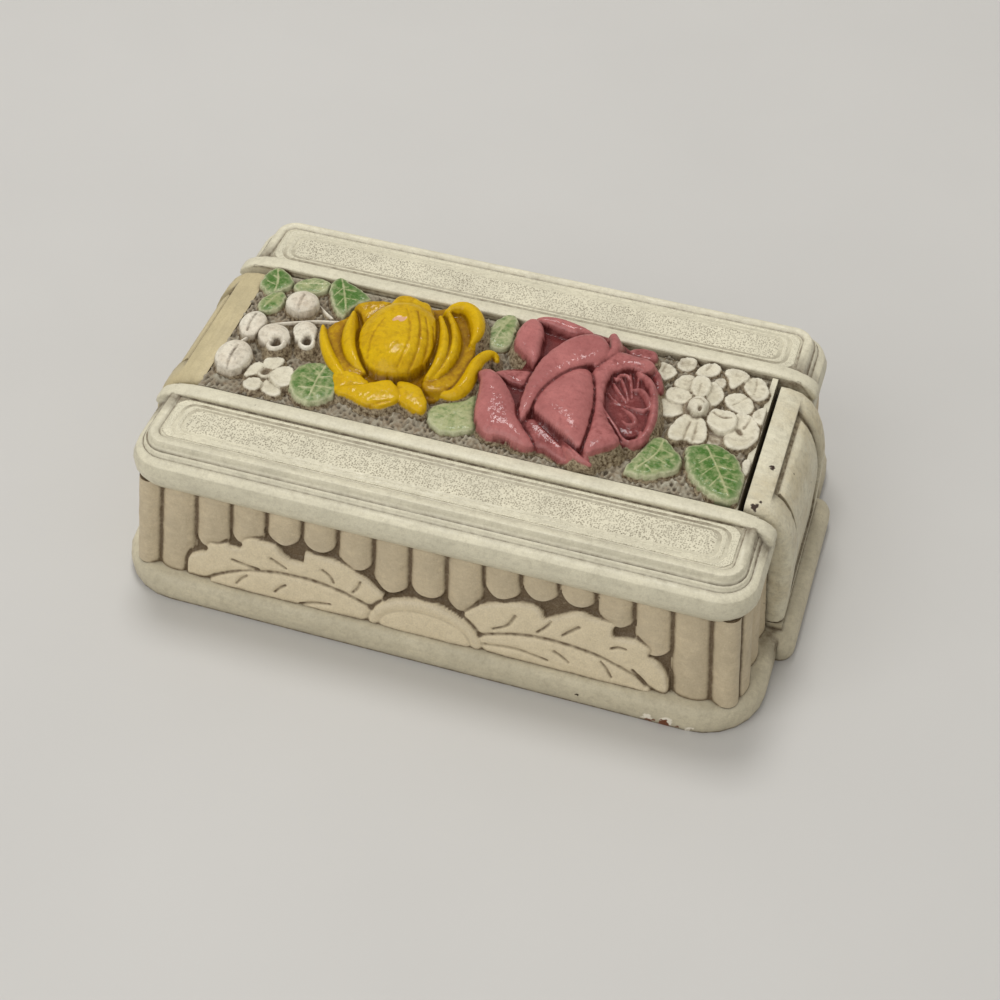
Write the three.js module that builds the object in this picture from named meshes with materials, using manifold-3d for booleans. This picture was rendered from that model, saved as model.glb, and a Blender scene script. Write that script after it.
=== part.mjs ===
// A carved and painted trinket box with a sliding lid between two moulded top rails.
// Millimetres. +X runs along the box to the right, +Y to the back, +Z up.
// The origin is the middle of its underside.
import * as THREE from 'three';
import { mergeVertices } from 'three/addons/utils/BufferGeometryUtils.js';
import Module from 'manifold-3d';

const wasm = await Module();
wasm.setup();

// Case
const RAIL_LENGTH = 150;
const RAIL_SPAN = 96.4;
const RAIL_THICKNESS = 14;
const RAIL_CORNER = 9.5;
const CHANNEL_WIDTH = 47;
const WALL_HEIGHT = 24;
const WALL_INSET = 1.2;
const WALL_BATTER = 2.1;
const WALL_CORNER = 5;
const FRONT_BOARD = 10;
const END_BOARD = 8;
const PLINTH_HEIGHT = 7;
const PLINTH_OVERHANG = 4.8;
const PLINTH_CORNER = 15.5;
const PLINTH_ROLL = 2.4;

// Moulding along a rail's outer edge, and the plain bead along the channel
const ROLL_RADIUS = 5.2;
const ROLL_SWEEP = THREE.MathUtils.degToRad(150);
const MOULDING_WIDTH = 7.2;
const BEAD_WIDTH = 4;
const BEAD_ROUND = 0.5;
const BEAD_DROOP = 4.8;
const BEAD_DROOP_LENGTH = 11.7;
const PANEL_DEPTH = 1.3;

// Foot moulding's bump in front of each end block, and the step that the block stands over
const BUMP_OUT = 3.8;
const BUMP_WIDTH = 52;
const BUMP_CORNER = 4;
const STEP_RISE = 1.8;

// Fluting, and the leaves and fan carved over it
const FLUTE_COUNT = 54;
const FLUTE_DEPTH = 1.6;
const LEAF_LENGTH = 48;
const LEAF_RISE = 18;
const LEAF_STAND = 0.5;
const LOBE_STAND = 0.6;
const FAN_WIDTH = 28;
const FAN_RISE = 10.4;
const FAN_BAND = 2.8;
const FAN_BAND_TOP = 3.7;
const FAN_STAND = 0.9;
const FAN_SPREAD = 13;

// Lid
const LID_SETBACK = 9.8;
const LID_CLEARANCE = 0.3;
const GROUND_DEPTH = 2;
const TONGUE_DEPTH = 2.6;
const TONGUE_THICKNESS = 3.2;
const TONGUE_RISE = 4;
const TONGUE_PLAY = 0.15;
const RIM_WIDTH = 1.4;
const RIM_RISE = 1;

// Blocks over the two ends
const BLOCK_WIDTH = 44;
const BLOCK_REACH = 4.6;
const BLOCK_DROP = 0.7;
const BLOCK_WALL = 6.8;
const BLOCK_SHOULDER = 2;
const BLOCK_KNEE = 15;
const BLOCK_CURVE_SHARES = [0.7, 0.44];
const BLOCK_ROUND = 2.4;
const BLOCK_FRAME = 7.5;
const BLOCK_RECESS = 1.2;
const RECESS_RANGE_SHARES = [0.09, 0.95];
const PANEL_GAP = 1.8;
const PANEL_RISE = 0.7;
const PANEL_RANGE_SHARES = [0.135, 0.905];
const END_GAP = 1.2;
const SEAT_CLEARANCE = 0.3;

// Dovetail tongue that guides the lifting block
const KEY_TONGUE_LENGTH = 20;
const KEY_TONGUE_DEPTH = 3;
const KEY_TONGUE_WIDTH = 12;
const KEY_TONGUE_FLARE = 1.6;
const KEY_PLAY = 0.15;

// Yellow bloom
const BLOOM_PLACE_SHARES = [-0.365, 0.03];
const BLOOM_WIDTH = 42;
const BLOOM_LENGTH = 40;
const BLOOM_HEIGHT = 8;
const BUD_WIDTH = 18.5;
const BUD_LENGTH = 25;
const BUD_RIBS = 12;
const BUD_RIB_SHARE = 0.04;

// Rose
const ROSE_PLACE_SHARES = [0.295, -0.01];
const ROSE_WIDTH = 43;
const ROSE_LENGTH = 44;
const ROSE_HEIGHT = 8.5;

// Leaves, berries and blossoms on the lid
const LEAF_THICKNESS = 3;
const LEAF_EDGE = 0.8;
const LEAF_FULL_SHARE = 0.62;
const BERRY_RADIUS = 4;
const BERRY_LIFT = 1;
const CALYX_RADIUS = 1.2;
const CALYX_TURN_SHARES = [0.5, 0.85];
const STEM_RADIUS = 0.6;
const STEM_RISE = 1.8;
const BLOSSOM_RADIUS = 7.6;
const BLOSSOM_HEIGHT = 4;
const BLOSSOM_PETALS = 5;
const PETAL_PLACE_SHARE = 0.58;
const PETAL_LENGTH_SHARE = 0.84;
const PETAL_WIDTH_SHARE = 0.66;
const PETAL_HEIGHT_SHARE = 0.75;
const HEART_SHARE = 0.3;
const CARVING_GAP = 0.3;

// Points closer than this are one point
const MERGE_DISTANCE = 0.0001;

// How finely round stretches are divided
const CORNER_STEPS = 6;
const ROLL_STEPS = 6;
const FLUTE_STEPS = 4;
const ROUND_STEPS = 3;
const ARC_STEPS = 6;
const BAR_SIDES = 6;
const BAR_STEPS = 8;
const BALL_SIDES = 12;
const BALL_LEVELS = 8;
const MOUND_SIDES = 10;
const MOUND_LEVELS = 6;

// One overrun serves every cut
const OVERRUN = 4;

// Worked out from the sizes above
const RAIL_BOTTOM = PLINTH_HEIGHT + WALL_HEIGHT;
const RAIL_TOP = RAIL_BOTTOM + RAIL_THICKNESS;
const CHANNEL_EDGE = CHANNEL_WIDTH / 2;
const PANEL_LEVEL = RAIL_TOP - PANEL_DEPTH;
const WALL_TOP_HALF = new THREE.Vector2(RAIL_LENGTH / 2 - WALL_INSET, RAIL_SPAN / 2 - WALL_INSET);
const CAVITY_HALF = new THREE.Vector2(WALL_TOP_HALF.x - END_BOARD, WALL_TOP_HALF.y - FRONT_BOARD);
const PLINTH_LENGTH = RAIL_LENGTH + 2 * PLINTH_OVERHANG;
const PLINTH_DEPTH = RAIL_SPAN + 2 * PLINTH_OVERHANG;
const LID_WIDTH = CHANNEL_WIDTH - 2 * LID_CLEARANCE;
const LID_BOTTOM = RAIL_BOTTOM + LID_CLEARANCE;
const LID_END = RAIL_LENGTH / 2 - LID_SETBACK;
const GROUND_LEVEL = RAIL_TOP - GROUND_DEPTH;
const TONGUE_BOTTOM = RAIL_BOTTOM + TONGUE_RISE;
const BLOCK_FACE = RAIL_LENGTH / 2 + BLOCK_REACH;
const BLOCK_TOP = RAIL_TOP - BLOCK_DROP;
const BLOCK_SEAT = BLOCK_FACE - BLOCK_WALL;
const STEP_TOP = PLINTH_HEIGHT + STEP_RISE;
const BLOCK_FOOT = STEP_TOP + SEAT_CLEARANCE;

// Finishes
const cream = finish(0xd8d3bb, 0.55);
const tan = finish(0xb9ac8e, 0.65);
const ground = finish(0xb4a797, 0.75);
const ochre = finish(0xcdbe9c, 0.6);
const yellow = finish(0xd8b114, 0.35);
const pink = finish(0xb06a70, 0.35);
const green = finish(0x4b8a4a, 0.45);
const berryCream = finish(0xccbcae, 0.55);
const petalCream = finish(0xd9d4c3, 0.5);

function finish(color, roughness) {
  return new THREE.MeshStandardMaterial({ color, roughness, metalness: 0 });
}

const box = new THREE.Group();

// Solids

function toSolid(geometry) {
  const plain = geometry.index ? geometry.toNonIndexed() : geometry.clone();
  for (const name of Object.keys(plain.attributes)) {
    if (name !== 'position') {
      plain.deleteAttribute(name);
    }
  }
  const merged = mergeVertices(plain, MERGE_DISTANCE);
  const solidMesh = new wasm.Mesh({
    numProp: 3,
    vertProperties: new Float32Array(merged.attributes.position.array),
    triVerts: new Uint32Array(merged.index.array),
  });
  return new wasm.Manifold(solidMesh);
}

function toGeometry(solid) {
  const solidMesh = solid.getMesh();
  const geometry = new THREE.BufferGeometry();
  geometry.setAttribute('position', new THREE.BufferAttribute(solidMesh.vertProperties, 3));
  geometry.setIndex(new THREE.BufferAttribute(solidMesh.triVerts, 1));
  geometry.computeVertexNormals();
  return geometry;
}

function addPiece(name, solid, material) {
  const piece = new THREE.Mesh(toGeometry(solid), material);
  piece.name = name;
  box.add(piece);
}

function join(solids) {
  return solids.reduce((whole, solid) => whole.add(solid));
}

function cutBy(solid, cutters) {
  return cutters.reduce((rest, cutter) => rest.subtract(cutter), solid);
}

// A rectangular solid between two corners
function blockBetween(low, high) {
  const size = new THREE.Vector3().subVectors(high, low);
  const geometry = new THREE.BoxGeometry(size.x, size.y, size.z);
  geometry.translate((low.x + high.x) / 2, (low.y + high.y) / 2, (low.z + high.z) / 2);
  return toSolid(geometry);
}

function indexedGeometry(points, indices) {
  const geometry = new THREE.BufferGeometry();
  const positions = points.flatMap((point) => [point.x, point.y, point.z]);
  geometry.setAttribute('position', new THREE.Float32BufferAttribute(positions, 3));
  geometry.setIndex(indices);
  return geometry;
}

// Level outlines with equal counts, counter-clockwise from above, skinned in order and capped
function skin(rings) {
  const count = rings[0].length;
  const indices = [];
  for (let level = 0; level < rings.length - 1; level += 1) {
    for (let i = 0; i < count; i += 1) {
      const a = level * count + i;
      const b = level * count + ((i + 1) % count);
      indices.push(a, b, b + count);
      indices.push(a, b + count, a + count);
    }
  }
  const last = (rings.length - 1) * count;
  const flat = (ring) => ring.map((point) => new THREE.Vector2(point.x, point.y));
  const bottomFaces = THREE.ShapeUtils.triangulateShape(flat(rings[0]), []);
  const topFaces = THREE.ShapeUtils.triangulateShape(flat(rings[rings.length - 1]), []);
  bottomFaces.forEach(([a, b, c]) => indices.push(a, c, b));
  topFaces.forEach(([a, b, c]) => indices.push(last + a, last + b, last + c));
  return indexedGeometry(rings.flat(), indices);
}

function loft(rings) {
  return toSolid(skin(rings));
}

// A round bar along a path that swells from a point at each end
function taperedBar(path, halfWidth, halfHeight, steps) {
  const curve = new THREE.CatmullRomCurve3(path);
  const points = [];
  const indices = [];
  for (let step = 1; step < steps; step += 1) {
    const share = step / steps;
    const centre = curve.getPointAt(share);
    const tangent = curve.getTangentAt(share);
    const across = new THREE.Vector3(tangent.y, -tangent.x, 0).normalize();
    const up = new THREE.Vector3().crossVectors(across, tangent);
    const swell = Math.sqrt(Math.sin(Math.PI * share));
    for (let side = 0; side < BAR_SIDES; side += 1) {
      const angle = (2 * Math.PI * side) / BAR_SIDES;
      const point = centre.clone();
      point.addScaledVector(across, halfWidth * swell * Math.cos(angle));
      point.addScaledVector(up, halfHeight * swell * Math.sin(angle));
      points.push(point);
    }
  }
  const lastRing = (steps - 2) * BAR_SIDES;
  const first = points.push(curve.getPointAt(0)) - 1;
  const final = points.push(curve.getPointAt(1)) - 1;
  for (let side = 0; side < BAR_SIDES; side += 1) {
    const next = (side + 1) % BAR_SIDES;
    for (let ring = 0; ring < lastRing; ring += BAR_SIDES) {
      indices.push(ring + side, ring + BAR_SIDES + next, ring + next);
      indices.push(ring + side, ring + BAR_SIDES + side, ring + BAR_SIDES + next);
    }
    indices.push(first, side, next);
    indices.push(final, lastRing + next, lastRing + side);
  }
  return toSolid(indexedGeometry(points, indices));
}

// An outline in length and height, given a thickness along the depth and centred on it
function uprightPrism(shape, thickness, round) {
  const geometry = new THREE.ExtrudeGeometry(shape, {
    depth: thickness - 2 * round,
    bevelEnabled: round > 0,
    bevelThickness: round,
    bevelSize: round,
    bevelOffset: -round,
    bevelSegments: 2,
    curveSegments: ARC_STEPS,
  });
  geometry.translate(0, 0, round - thickness / 2);
  geometry.rotateX(Math.PI / 2);
  return toSolid(geometry);
}

// The same piece on the other side of the box
function mirrored(solid, scaleX, scaleY) {
  const geometry = toGeometry(solid).scale(scaleX, scaleY, 1);
  const indices = Array.from(geometry.index.array);
  for (let i = 0; i < indices.length; i += 3) {
    [indices[i + 1], indices[i + 2]] = [indices[i + 2], indices[i + 1]];
  }
  geometry.setIndex(indices);
  return toSolid(geometry);
}

// Outlines seen from above

// Points of an arc, ends included
function arc(x, y, radius, startAngle, endAngle, steps) {
  const points = [];
  for (let step = 0; step <= steps; step += 1) {
    const angle = startAngle + ((endAngle - startAngle) * step) / steps;
    points.push(new THREE.Vector2(x + radius * Math.cos(angle), y + radius * Math.sin(angle)));
  }
  return points;
}

function atHeight(points, z) {
  return points.map((point) => new THREE.Vector3(point.x, point.y, z));
}

// The foot moulding with its two bumps, drawn in all round by an inset
function plinthOutline(inset) {
  const halfLength = PLINTH_LENGTH / 2 - inset;
  const halfDepth = PLINTH_DEPTH / 2 - inset;
  const corner = PLINTH_CORNER - inset;
  const cornerX = halfLength - corner;
  const cornerY = halfDepth - corner;
  const bumpHalf = BUMP_WIDTH / 2 - inset;
  const bumpRound = BUMP_CORNER - inset;
  const bumpX = halfLength + BUMP_OUT - bumpRound;
  const bumpY = bumpHalf - bumpRound;
  const rightHalf = [
    ...arc(cornerX, -cornerY, corner, -Math.PI / 2, 0, CORNER_STEPS),
    new THREE.Vector2(halfLength, -bumpHalf),
    ...arc(bumpX, -bumpY, bumpRound, -Math.PI / 2, 0, ARC_STEPS),
    ...arc(bumpX, bumpY, bumpRound, 0, Math.PI / 2, ARC_STEPS),
    new THREE.Vector2(halfLength, bumpHalf),
    ...arc(cornerX, cornerY, corner, 0, Math.PI / 2, CORNER_STEPS),
  ];
  const leftHalf = rightHalf.map((point) => point.clone().negate());
  return [...rightHalf, ...leftHalf];
}

// The front rail: round outer corners and a straight edge along the channel
function railOutline(inset) {
  const halfLength = RAIL_LENGTH / 2 - inset;
  const corner = RAIL_CORNER - inset;
  const cornerX = halfLength - corner;
  const cornerY = RAIL_SPAN / 2 - inset - corner;
  return [
    ...arc(-cornerX, -cornerY, corner, Math.PI, 1.5 * Math.PI, CORNER_STEPS),
    ...arc(cornerX, -cornerY, corner, 1.5 * Math.PI, 2 * Math.PI, CORNER_STEPS),
    new THREE.Vector2(halfLength, -CHANNEL_EDGE),
    new THREE.Vector2(-halfLength, -CHANNEL_EDGE),
  ];
}

// The walls' rounded rectangle, counter-clockwise from the middle of its front
function wallPath(halfLength, halfDepth) {
  const x = halfLength - WALL_CORNER;
  const y = halfDepth - WALL_CORNER;
  const path = new THREE.Path();
  path.moveTo(0, -halfDepth);
  path.lineTo(x, -halfDepth);
  path.absarc(x, -y, WALL_CORNER, -Math.PI / 2, 0, false);
  path.absarc(x, y, WALL_CORNER, 0, Math.PI / 2, false);
  path.absarc(-x, y, WALL_CORNER, Math.PI / 2, Math.PI, false);
  path.absarc(-x, -y, WALL_CORNER, Math.PI, 1.5 * Math.PI, false);
  path.lineTo(0, -halfDepth);
  return path;
}

// Round ribs all the way round the walls, meeting in sharp grooves
function flutedOutline(halfLength, halfDepth) {
  const path = wallPath(halfLength, halfDepth);
  const total = FLUTE_COUNT * FLUTE_STEPS;
  const points = [];
  for (let step = 0; step < total; step += 1) {
    const across = (step % FLUTE_STEPS) / FLUTE_STEPS;
    const fromCrown = 2 * Math.min(across, 1 - across);
    const depth = FLUTE_DEPTH * fromCrown * fromCrown;
    const point = path.getPoint(step / total);
    const tangent = path.getTangent(step / total);
    points.push(new THREE.Vector2(point.x - depth * tangent.y, point.y + depth * tangent.x));
  }
  return points;
}

// Base board with its foot moulding

// Shares of the moulding's roll inwards and of the board's height
const plinthShares = [[0.16, 0], [0.04, 0.12], [0, 0.32], [0.05, 0.62], [0.36, 0.86], [1, 1]];

function baseBoard() {
  const rings = plinthShares.map(([insetShare, heightShare]) => (
    atHeight(plinthOutline(insetShare * PLINTH_ROLL), heightShare * PLINTH_HEIGHT)
  ));
  const half = BLOCK_WIDTH / 2;
  const low = new THREE.Vector3(BLOCK_SEAT, -half, PLINTH_HEIGHT - OVERRUN);
  const high = new THREE.Vector3(BLOCK_FACE, half, STEP_TOP);
  const step = blockBetween(low, high);
  addPiece('base_board', join([loft(rings), step, mirrored(step, -1, 1)]), cream);
}

// Walls, cut from one fluted body so that the ribs run on round the corners

function flutedBody() {
  const { x, y } = WALL_TOP_HALF;
  const foot = flutedOutline(x + WALL_BATTER, y + WALL_BATTER);
  const top = flutedOutline(x, y);
  return loft([atHeight(foot, PLINTH_HEIGHT), atHeight(top, RAIL_BOTTOM)]);
}

function wallRegion(lowX, lowY, highX, highY) {
  const low = new THREE.Vector3(lowX, lowY, PLINTH_HEIGHT);
  const high = new THREE.Vector3(highX, highY, RAIL_BOTTOM);
  return blockBetween(low, high);
}

// Sets an outline, drawn on the front wall's face, against that face, which leans back as it rises
function ontoFront(shape, innerDepth, outerDepth) {
  const geometry = new THREE.ExtrudeGeometry(shape, {
    depth: outerDepth - innerDepth,
    bevelEnabled: false,
    curveSegments: ARC_STEPS,
  });
  geometry.translate(0, 0, innerDepth);
  geometry.rotateX(Math.PI / 2 - Math.atan2(WALL_BATTER, WALL_HEIGHT));
  geometry.translate(0, -(WALL_TOP_HALF.y + WALL_BATTER), PLINTH_HEIGHT);
  return toSolid(geometry);
}

// Where each rib ends in a round tongue above the leaves, as a share of the wall's height
const tongueTipShares = [
  0.37, 0.53, 0.66, 0.68, 0.56, 0.39, 0.43, 0.36, 0.66, 0.76, 0.8, 0.66, 0.41,
];
const TONGUE_ROUND_SHARE = 0.17;
const TONGUE_SPAN_SHARE = 0.499;

// The ground below the tongues, cut back to the depth of the grooves
function tongueGround() {
  const { x, y } = WALL_TOP_HALF;
  const pitch = wallPath(x + WALL_BATTER / 2, y + WALL_BATTER / 2).getLength() / FLUTE_COUNT;
  const firstRib = -(tongueTipShares.length - 1) / 2;
  const reach = TONGUE_SPAN_SHARE * pitch;
  const points = [new THREE.Vector2(firstRib * pitch - reach, -SEAT_CLEARANCE)];
  tongueTipShares.forEach((tipShare, i) => {
    const middle = (firstRib + i) * pitch;
    for (let step = 0; step <= ARC_STEPS; step += 1) {
      const angle = Math.PI * (1 + step / ARC_STEPS);
      const heightShare = tipShare + TONGUE_ROUND_SHARE * (1 + Math.sin(angle));
      points.push(new THREE.Vector2(middle + reach * Math.cos(angle), heightShare * WALL_HEIGHT));
    }
  });
  points.push(new THREE.Vector2(reach - firstRib * pitch, -SEAT_CLEARANCE));
  return ontoFront(new THREE.Shape(points), -FLUTE_DEPTH, OVERRUN);
}

// Leaf outlines as shares of the leaf's length from the fan outwards and of its rise
const rightLeafShares = [
  [-0.1, 0], [-0.1, 0.45], [-0.02, 0.68], [0.06, 0.81], [0.17, 0.91], [0.25, 0.94], [0.3, 0.9],
  [0.32, 0.755], [0.35, 0.8], [0.42, 0.925], [0.46, 1], [0.5, 1.04], [0.54, 0.985], [0.6, 0.975],
  [0.66, 0.96], [0.65, 0.78], [0.67, 0.73], [0.71, 0.755], [0.76, 0.78], [0.81, 0.73],
  [0.84, 0.68], [0.83, 0.56], [0.865, 0.54], [0.91, 0.42], [0.94, 0.27], [0.95, 0.06], [0.95, 0],
];
const leftLeafShares = [
  [-0.06, 0], [-0.06, 0.48], [-0.04, 0.525], [0.02, 0.65], [0.1, 0.78], [0.19, 0.86],
  [0.27, 0.885], [0.34, 0.9], [0.36, 0.86], [0.365, 0.7], [0.375, 0.685], [0.43, 0.68],
  [0.46, 0.73], [0.49, 0.83], [0.51, 0.9], [0.57, 0.875], [0.625, 0.91], [0.68, 0.83],
  [0.69, 0.68], [0.74, 0.66], [0.77, 0.69], [0.81, 0.645], [0.87, 0.63], [0.875, 0.47],
  [0.93, 0.41], [0.97, 0.345], [0.99, 0.22], [1, 0],
];
const lobeShares = [
  [-0.02, 0.165], [0.08, 0.29], [0.19, 0.385], [0.31, 0.43], [0.42, 0.43], [0.52, 0.405],
  [0.62, 0.345], [0.73, 0.245], [0.82, 0.115], [0.875, 0],
];

// A toothed leaf with a raised inner lobe, lying from the fan towards one end
function leafRelief(outlineShares, direction) {
  const place = ([lengthShare, riseShare]) => new THREE.Vector2(
    direction * (FAN_SPREAD + lengthShare * LEAF_LENGTH),
    riseShare * LEAF_RISE,
  );
  const lobe = new THREE.Shape([place([lobeShares[0][0], 0]), ...lobeShares.map(place)]);
  const back = -FLUTE_DEPTH - LEAF_STAND;
  return ontoFront(new THREE.Shape(outlineShares.map(place)), back, LEAF_STAND)
    .add(ontoFront(lobe, back, LEAF_STAND + LOBE_STAND));
}

// The low round fan between the leaves, with a raised middle
function fanRelief() {
  const halfEllipse = (halfWidth, rise) => {
    const points = arc(0, 0, 1, 0, Math.PI, 2 * ARC_STEPS);
    return new THREE.Shape(points.map(({ x, y }) => new THREE.Vector2(x * halfWidth, y * rise)));
  };
  const outer = halfEllipse(FAN_WIDTH / 2, FAN_RISE);
  const inner = halfEllipse(FAN_WIDTH / 2 - FAN_BAND, FAN_RISE - FAN_BAND_TOP);
  const back = -FLUTE_DEPTH - FAN_STAND;
  return ontoFront(outer, back, FAN_STAND).add(ontoFront(inner, back, FAN_STAND + LOBE_STAND));
}

function frontWall() {
  const edge = WALL_TOP_HALF.x + WALL_BATTER + OVERRUN;
  const region = wallRegion(-edge, -edge, edge, -CAVITY_HALF.y);
  const reliefs = [leafRelief(leftLeafShares, -1), leafRelief(rightLeafShares, 1), fanRelief()];
  return flutedBody().subtract(tongueGround()).add(join(reliefs)).intersect(region);
}

// An end wall stands between the front and back walls, with a flat seat behind its block
function rightEndWall() {
  const edge = WALL_TOP_HALF.x + WALL_BATTER + OVERRUN;
  const region = wallRegion(CAVITY_HALF.x, -CAVITY_HALF.y, edge, CAVITY_HALF.y);
  const seatHalf = BLOCK_WIDTH / 2 + SEAT_CLEARANCE;
  const seat = wallRegion(BLOCK_SEAT - SEAT_CLEARANCE, -seatHalf, edge, seatHalf);
  return flutedBody().intersect(region).subtract(seat);
}

function walls() {
  const front = frontWall();
  const end = rightEndWall();
  addPiece('front_wall', front, tan);
  addPiece('back_wall', mirrored(front, 1, -1), tan);
  addPiece('left_end_wall', mirrored(end, -1, 1), tan);
  addPiece('right_end_wall', end.subtract(keyTongue(KEY_PLAY)), tan);
}

// Top rails

// Steps inside the roll: shares of the moulding's width inwards and of the panel's height
const railStepShares = [
  [0.39, 0.74], [0.43, 0.82], [0.49, 0.86], [0.54, 0.83], [0.58, 0.95], [0.66, 1.02], [0.9, 1.03],
  [0.95, 0.98], [1, 1],
];

function railBody() {
  const rings = [];
  for (let step = 0; step <= ROLL_STEPS; step += 1) {
    const angle = -Math.PI / 2 + (step * ROLL_SWEEP) / ROLL_STEPS;
    const outline = railOutline(ROLL_RADIUS * (1 - Math.cos(angle)));
    rings.push(atHeight(outline, RAIL_BOTTOM + ROLL_RADIUS * (1 + Math.sin(angle))));
  }
  railStepShares.forEach(([insetShare, heightShare]) => {
    const height = heightShare * (PANEL_LEVEL - RAIL_BOTTOM);
    rings.push(atHeight(railOutline(insetShare * MOULDING_WIDTH), RAIL_BOTTOM + height));
  });
  return loft(rings);
}

// The bead runs the whole length and rounds over at both ends
function channelBead() {
  const half = RAIL_LENGTH / 2;
  const droop = arc(0, 0, 1, 0, Math.PI / 2, ARC_STEPS).map(({ x, y }) => (
    new THREE.Vector2(half - BEAD_DROOP_LENGTH * (1 - x), RAIL_TOP - BEAD_DROOP * (1 - y))
  ));
  const rightEnd = [
    new THREE.Vector2(half - ROLL_RADIUS / 2, RAIL_BOTTOM + ROLL_RADIUS),
    ...droop,
  ];
  const leftEnd = rightEnd.map(({ x, y }) => new THREE.Vector2(-x, y)).reverse();
  const shape = new THREE.Shape([...rightEnd, ...leftEnd]);
  const bead = toGeometry(uprightPrism(shape, BEAD_WIDTH, BEAD_ROUND));
  return toSolid(bead.translate(0, -CHANNEL_EDGE - BEAD_WIDTH / 2, 0));
}

// The groove for the lid's tongue is open at the left end and stops past the lid's right end
function tongueGroove() {
  const low = new THREE.Vector3(
    -RAIL_LENGTH / 2 - OVERRUN,
    -(LID_WIDTH / 2 + TONGUE_DEPTH + LID_CLEARANCE),
    TONGUE_BOTTOM - TONGUE_PLAY,
  );
  const high = new THREE.Vector3(
    LID_END + LID_CLEARANCE,
    -CHANNEL_EDGE + OVERRUN,
    TONGUE_BOTTOM + TONGUE_THICKNESS + TONGUE_PLAY,
  );
  return blockBetween(low, high);
}

function rails() {
  const rail = railBody().add(channelBead()).subtract(tongueGroove());
  addPiece('front_rail', rail, cream);
  addPiece('back_rail', mirrored(rail, 1, -1), cream);
}

// Blocks over the ends

// The block's outside from its shoulder at the top to its foot, drawn in by an inset
function blockCurve(inset, [startShare, endShare]) {
  const shoulder = new THREE.Vector2(LID_END + END_GAP + BLOCK_SHOULDER, BLOCK_TOP);
  const knee = new THREE.Vector2(BLOCK_FACE, BLOCK_FOOT + BLOCK_KNEE);
  const upperHandle = shoulder.clone();
  upperHandle.x += BLOCK_CURVE_SHARES[0] * (knee.x - shoulder.x);
  const lowerHandle = knee.clone();
  lowerHandle.y += BLOCK_CURVE_SHARES[1] * (shoulder.y - knee.y);
  const path = new THREE.CurvePath();
  path.add(new THREE.CubicBezierCurve(shoulder, upperHandle, lowerHandle, knee));
  path.add(new THREE.LineCurve(knee, new THREE.Vector2(BLOCK_FACE, BLOCK_FOOT)));
  const points = [];
  const steps = 2 * ARC_STEPS;
  for (let step = 0; step <= steps; step += 1) {
    const share = startShare + ((endShare - startShare) * step) / steps;
    const point = path.getPoint(share);
    const tangent = path.getTangent(share);
    points.push(new THREE.Vector2(point.x + inset * tangent.y, point.y - inset * tangent.x));
  }
  return points;
}

// The block's whole outline in length and height, with its outside drawn in by an inset
function blockOutline(innerEdge, inset) {
  return [
    new THREE.Vector2(innerEdge, BLOCK_TOP - inset),
    new THREE.Vector2(innerEdge, LID_BOTTOM),
    new THREE.Vector2(BLOCK_SEAT, LID_BOTTOM),
    new THREE.Vector2(BLOCK_SEAT, BLOCK_FOOT),
    ...blockCurve(inset, [0, 1]).reverse(),
  ];
}

// Rounded over towards its two sides
function blockBody(innerEdge) {
  const crown = BLOCK_WIDTH / 2 - BLOCK_ROUND;
  const nearSide = arc(0, 0, BLOCK_ROUND, 0, Math.PI / 2, ROUND_STEPS).map(({ x, y }) => ({
    inset: BLOCK_ROUND - y,
    depth: -crown - x,
  }));
  const farSide = nearSide.map(({ inset, depth }) => ({ inset, depth: -depth })).reverse();
  const rings = [...nearSide, ...farSide].map(({ inset, depth }) => (
    atHeight(blockOutline(innerEdge, inset), depth)
  ));
  return toSolid(skin(rings).rotateX(Math.PI / 2));
}

// A block that hooks over the end: a shelf on top, a curved face with a sunk and raised panel
function endBlock(innerEdge) {
  const recess = new THREE.Shape([
    ...blockCurve(-OVERRUN, RECESS_RANGE_SHARES),
    ...blockCurve(BLOCK_RECESS, RECESS_RANGE_SHARES).reverse(),
  ]);
  const panel = new THREE.Shape([
    ...blockCurve(BLOCK_RECESS - PANEL_RISE, PANEL_RANGE_SHARES),
    ...blockCurve(BLOCK_RECESS + PANEL_RISE, PANEL_RANGE_SHARES).reverse(),
  ]);
  const recessWidth = BLOCK_WIDTH - 2 * BLOCK_FRAME;
  return blockBody(innerEdge)
    .subtract(uprightPrism(recess, recessWidth, 0))
    .add(uprightPrism(panel, recessWidth - 2 * PANEL_GAP, 0));
}

// The dovetail on the lifting block's back or, with play, the groove that it runs in
function keyTongue(play) {
  const overrun = play > 0 ? OVERRUN : 0;
  const rootX = BLOCK_SEAT + overrun;
  const tipX = BLOCK_SEAT - KEY_TONGUE_DEPTH - play;
  const tipHalf = KEY_TONGUE_WIDTH / 2 + KEY_TONGUE_FLARE + play;
  const rootHalf = tipHalf - (KEY_TONGUE_FLARE / KEY_TONGUE_DEPTH) * (rootX - tipX);
  const outline = new THREE.Shape([
    new THREE.Vector2(tipX, -tipHalf),
    new THREE.Vector2(rootX, -rootHalf),
    new THREE.Vector2(rootX, rootHalf),
    new THREE.Vector2(tipX, tipHalf),
  ]);
  const depth = KEY_TONGUE_LENGTH + play + overrun;
  const geometry = new THREE.ExtrudeGeometry(outline, { depth, bevelEnabled: false });
  return toSolid(geometry.translate(0, 0, RAIL_BOTTOM - KEY_TONGUE_LENGTH - play));
}

function blocks() {
  addPiece('lid_end_block', mirrored(endBlock(LID_END), -1, 1), ochre);
  addPiece('key_block', endBlock(LID_END + END_GAP), cream);
  addPiece('key_tongue', keyTongue(0), tan);
}

// Lid

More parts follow.
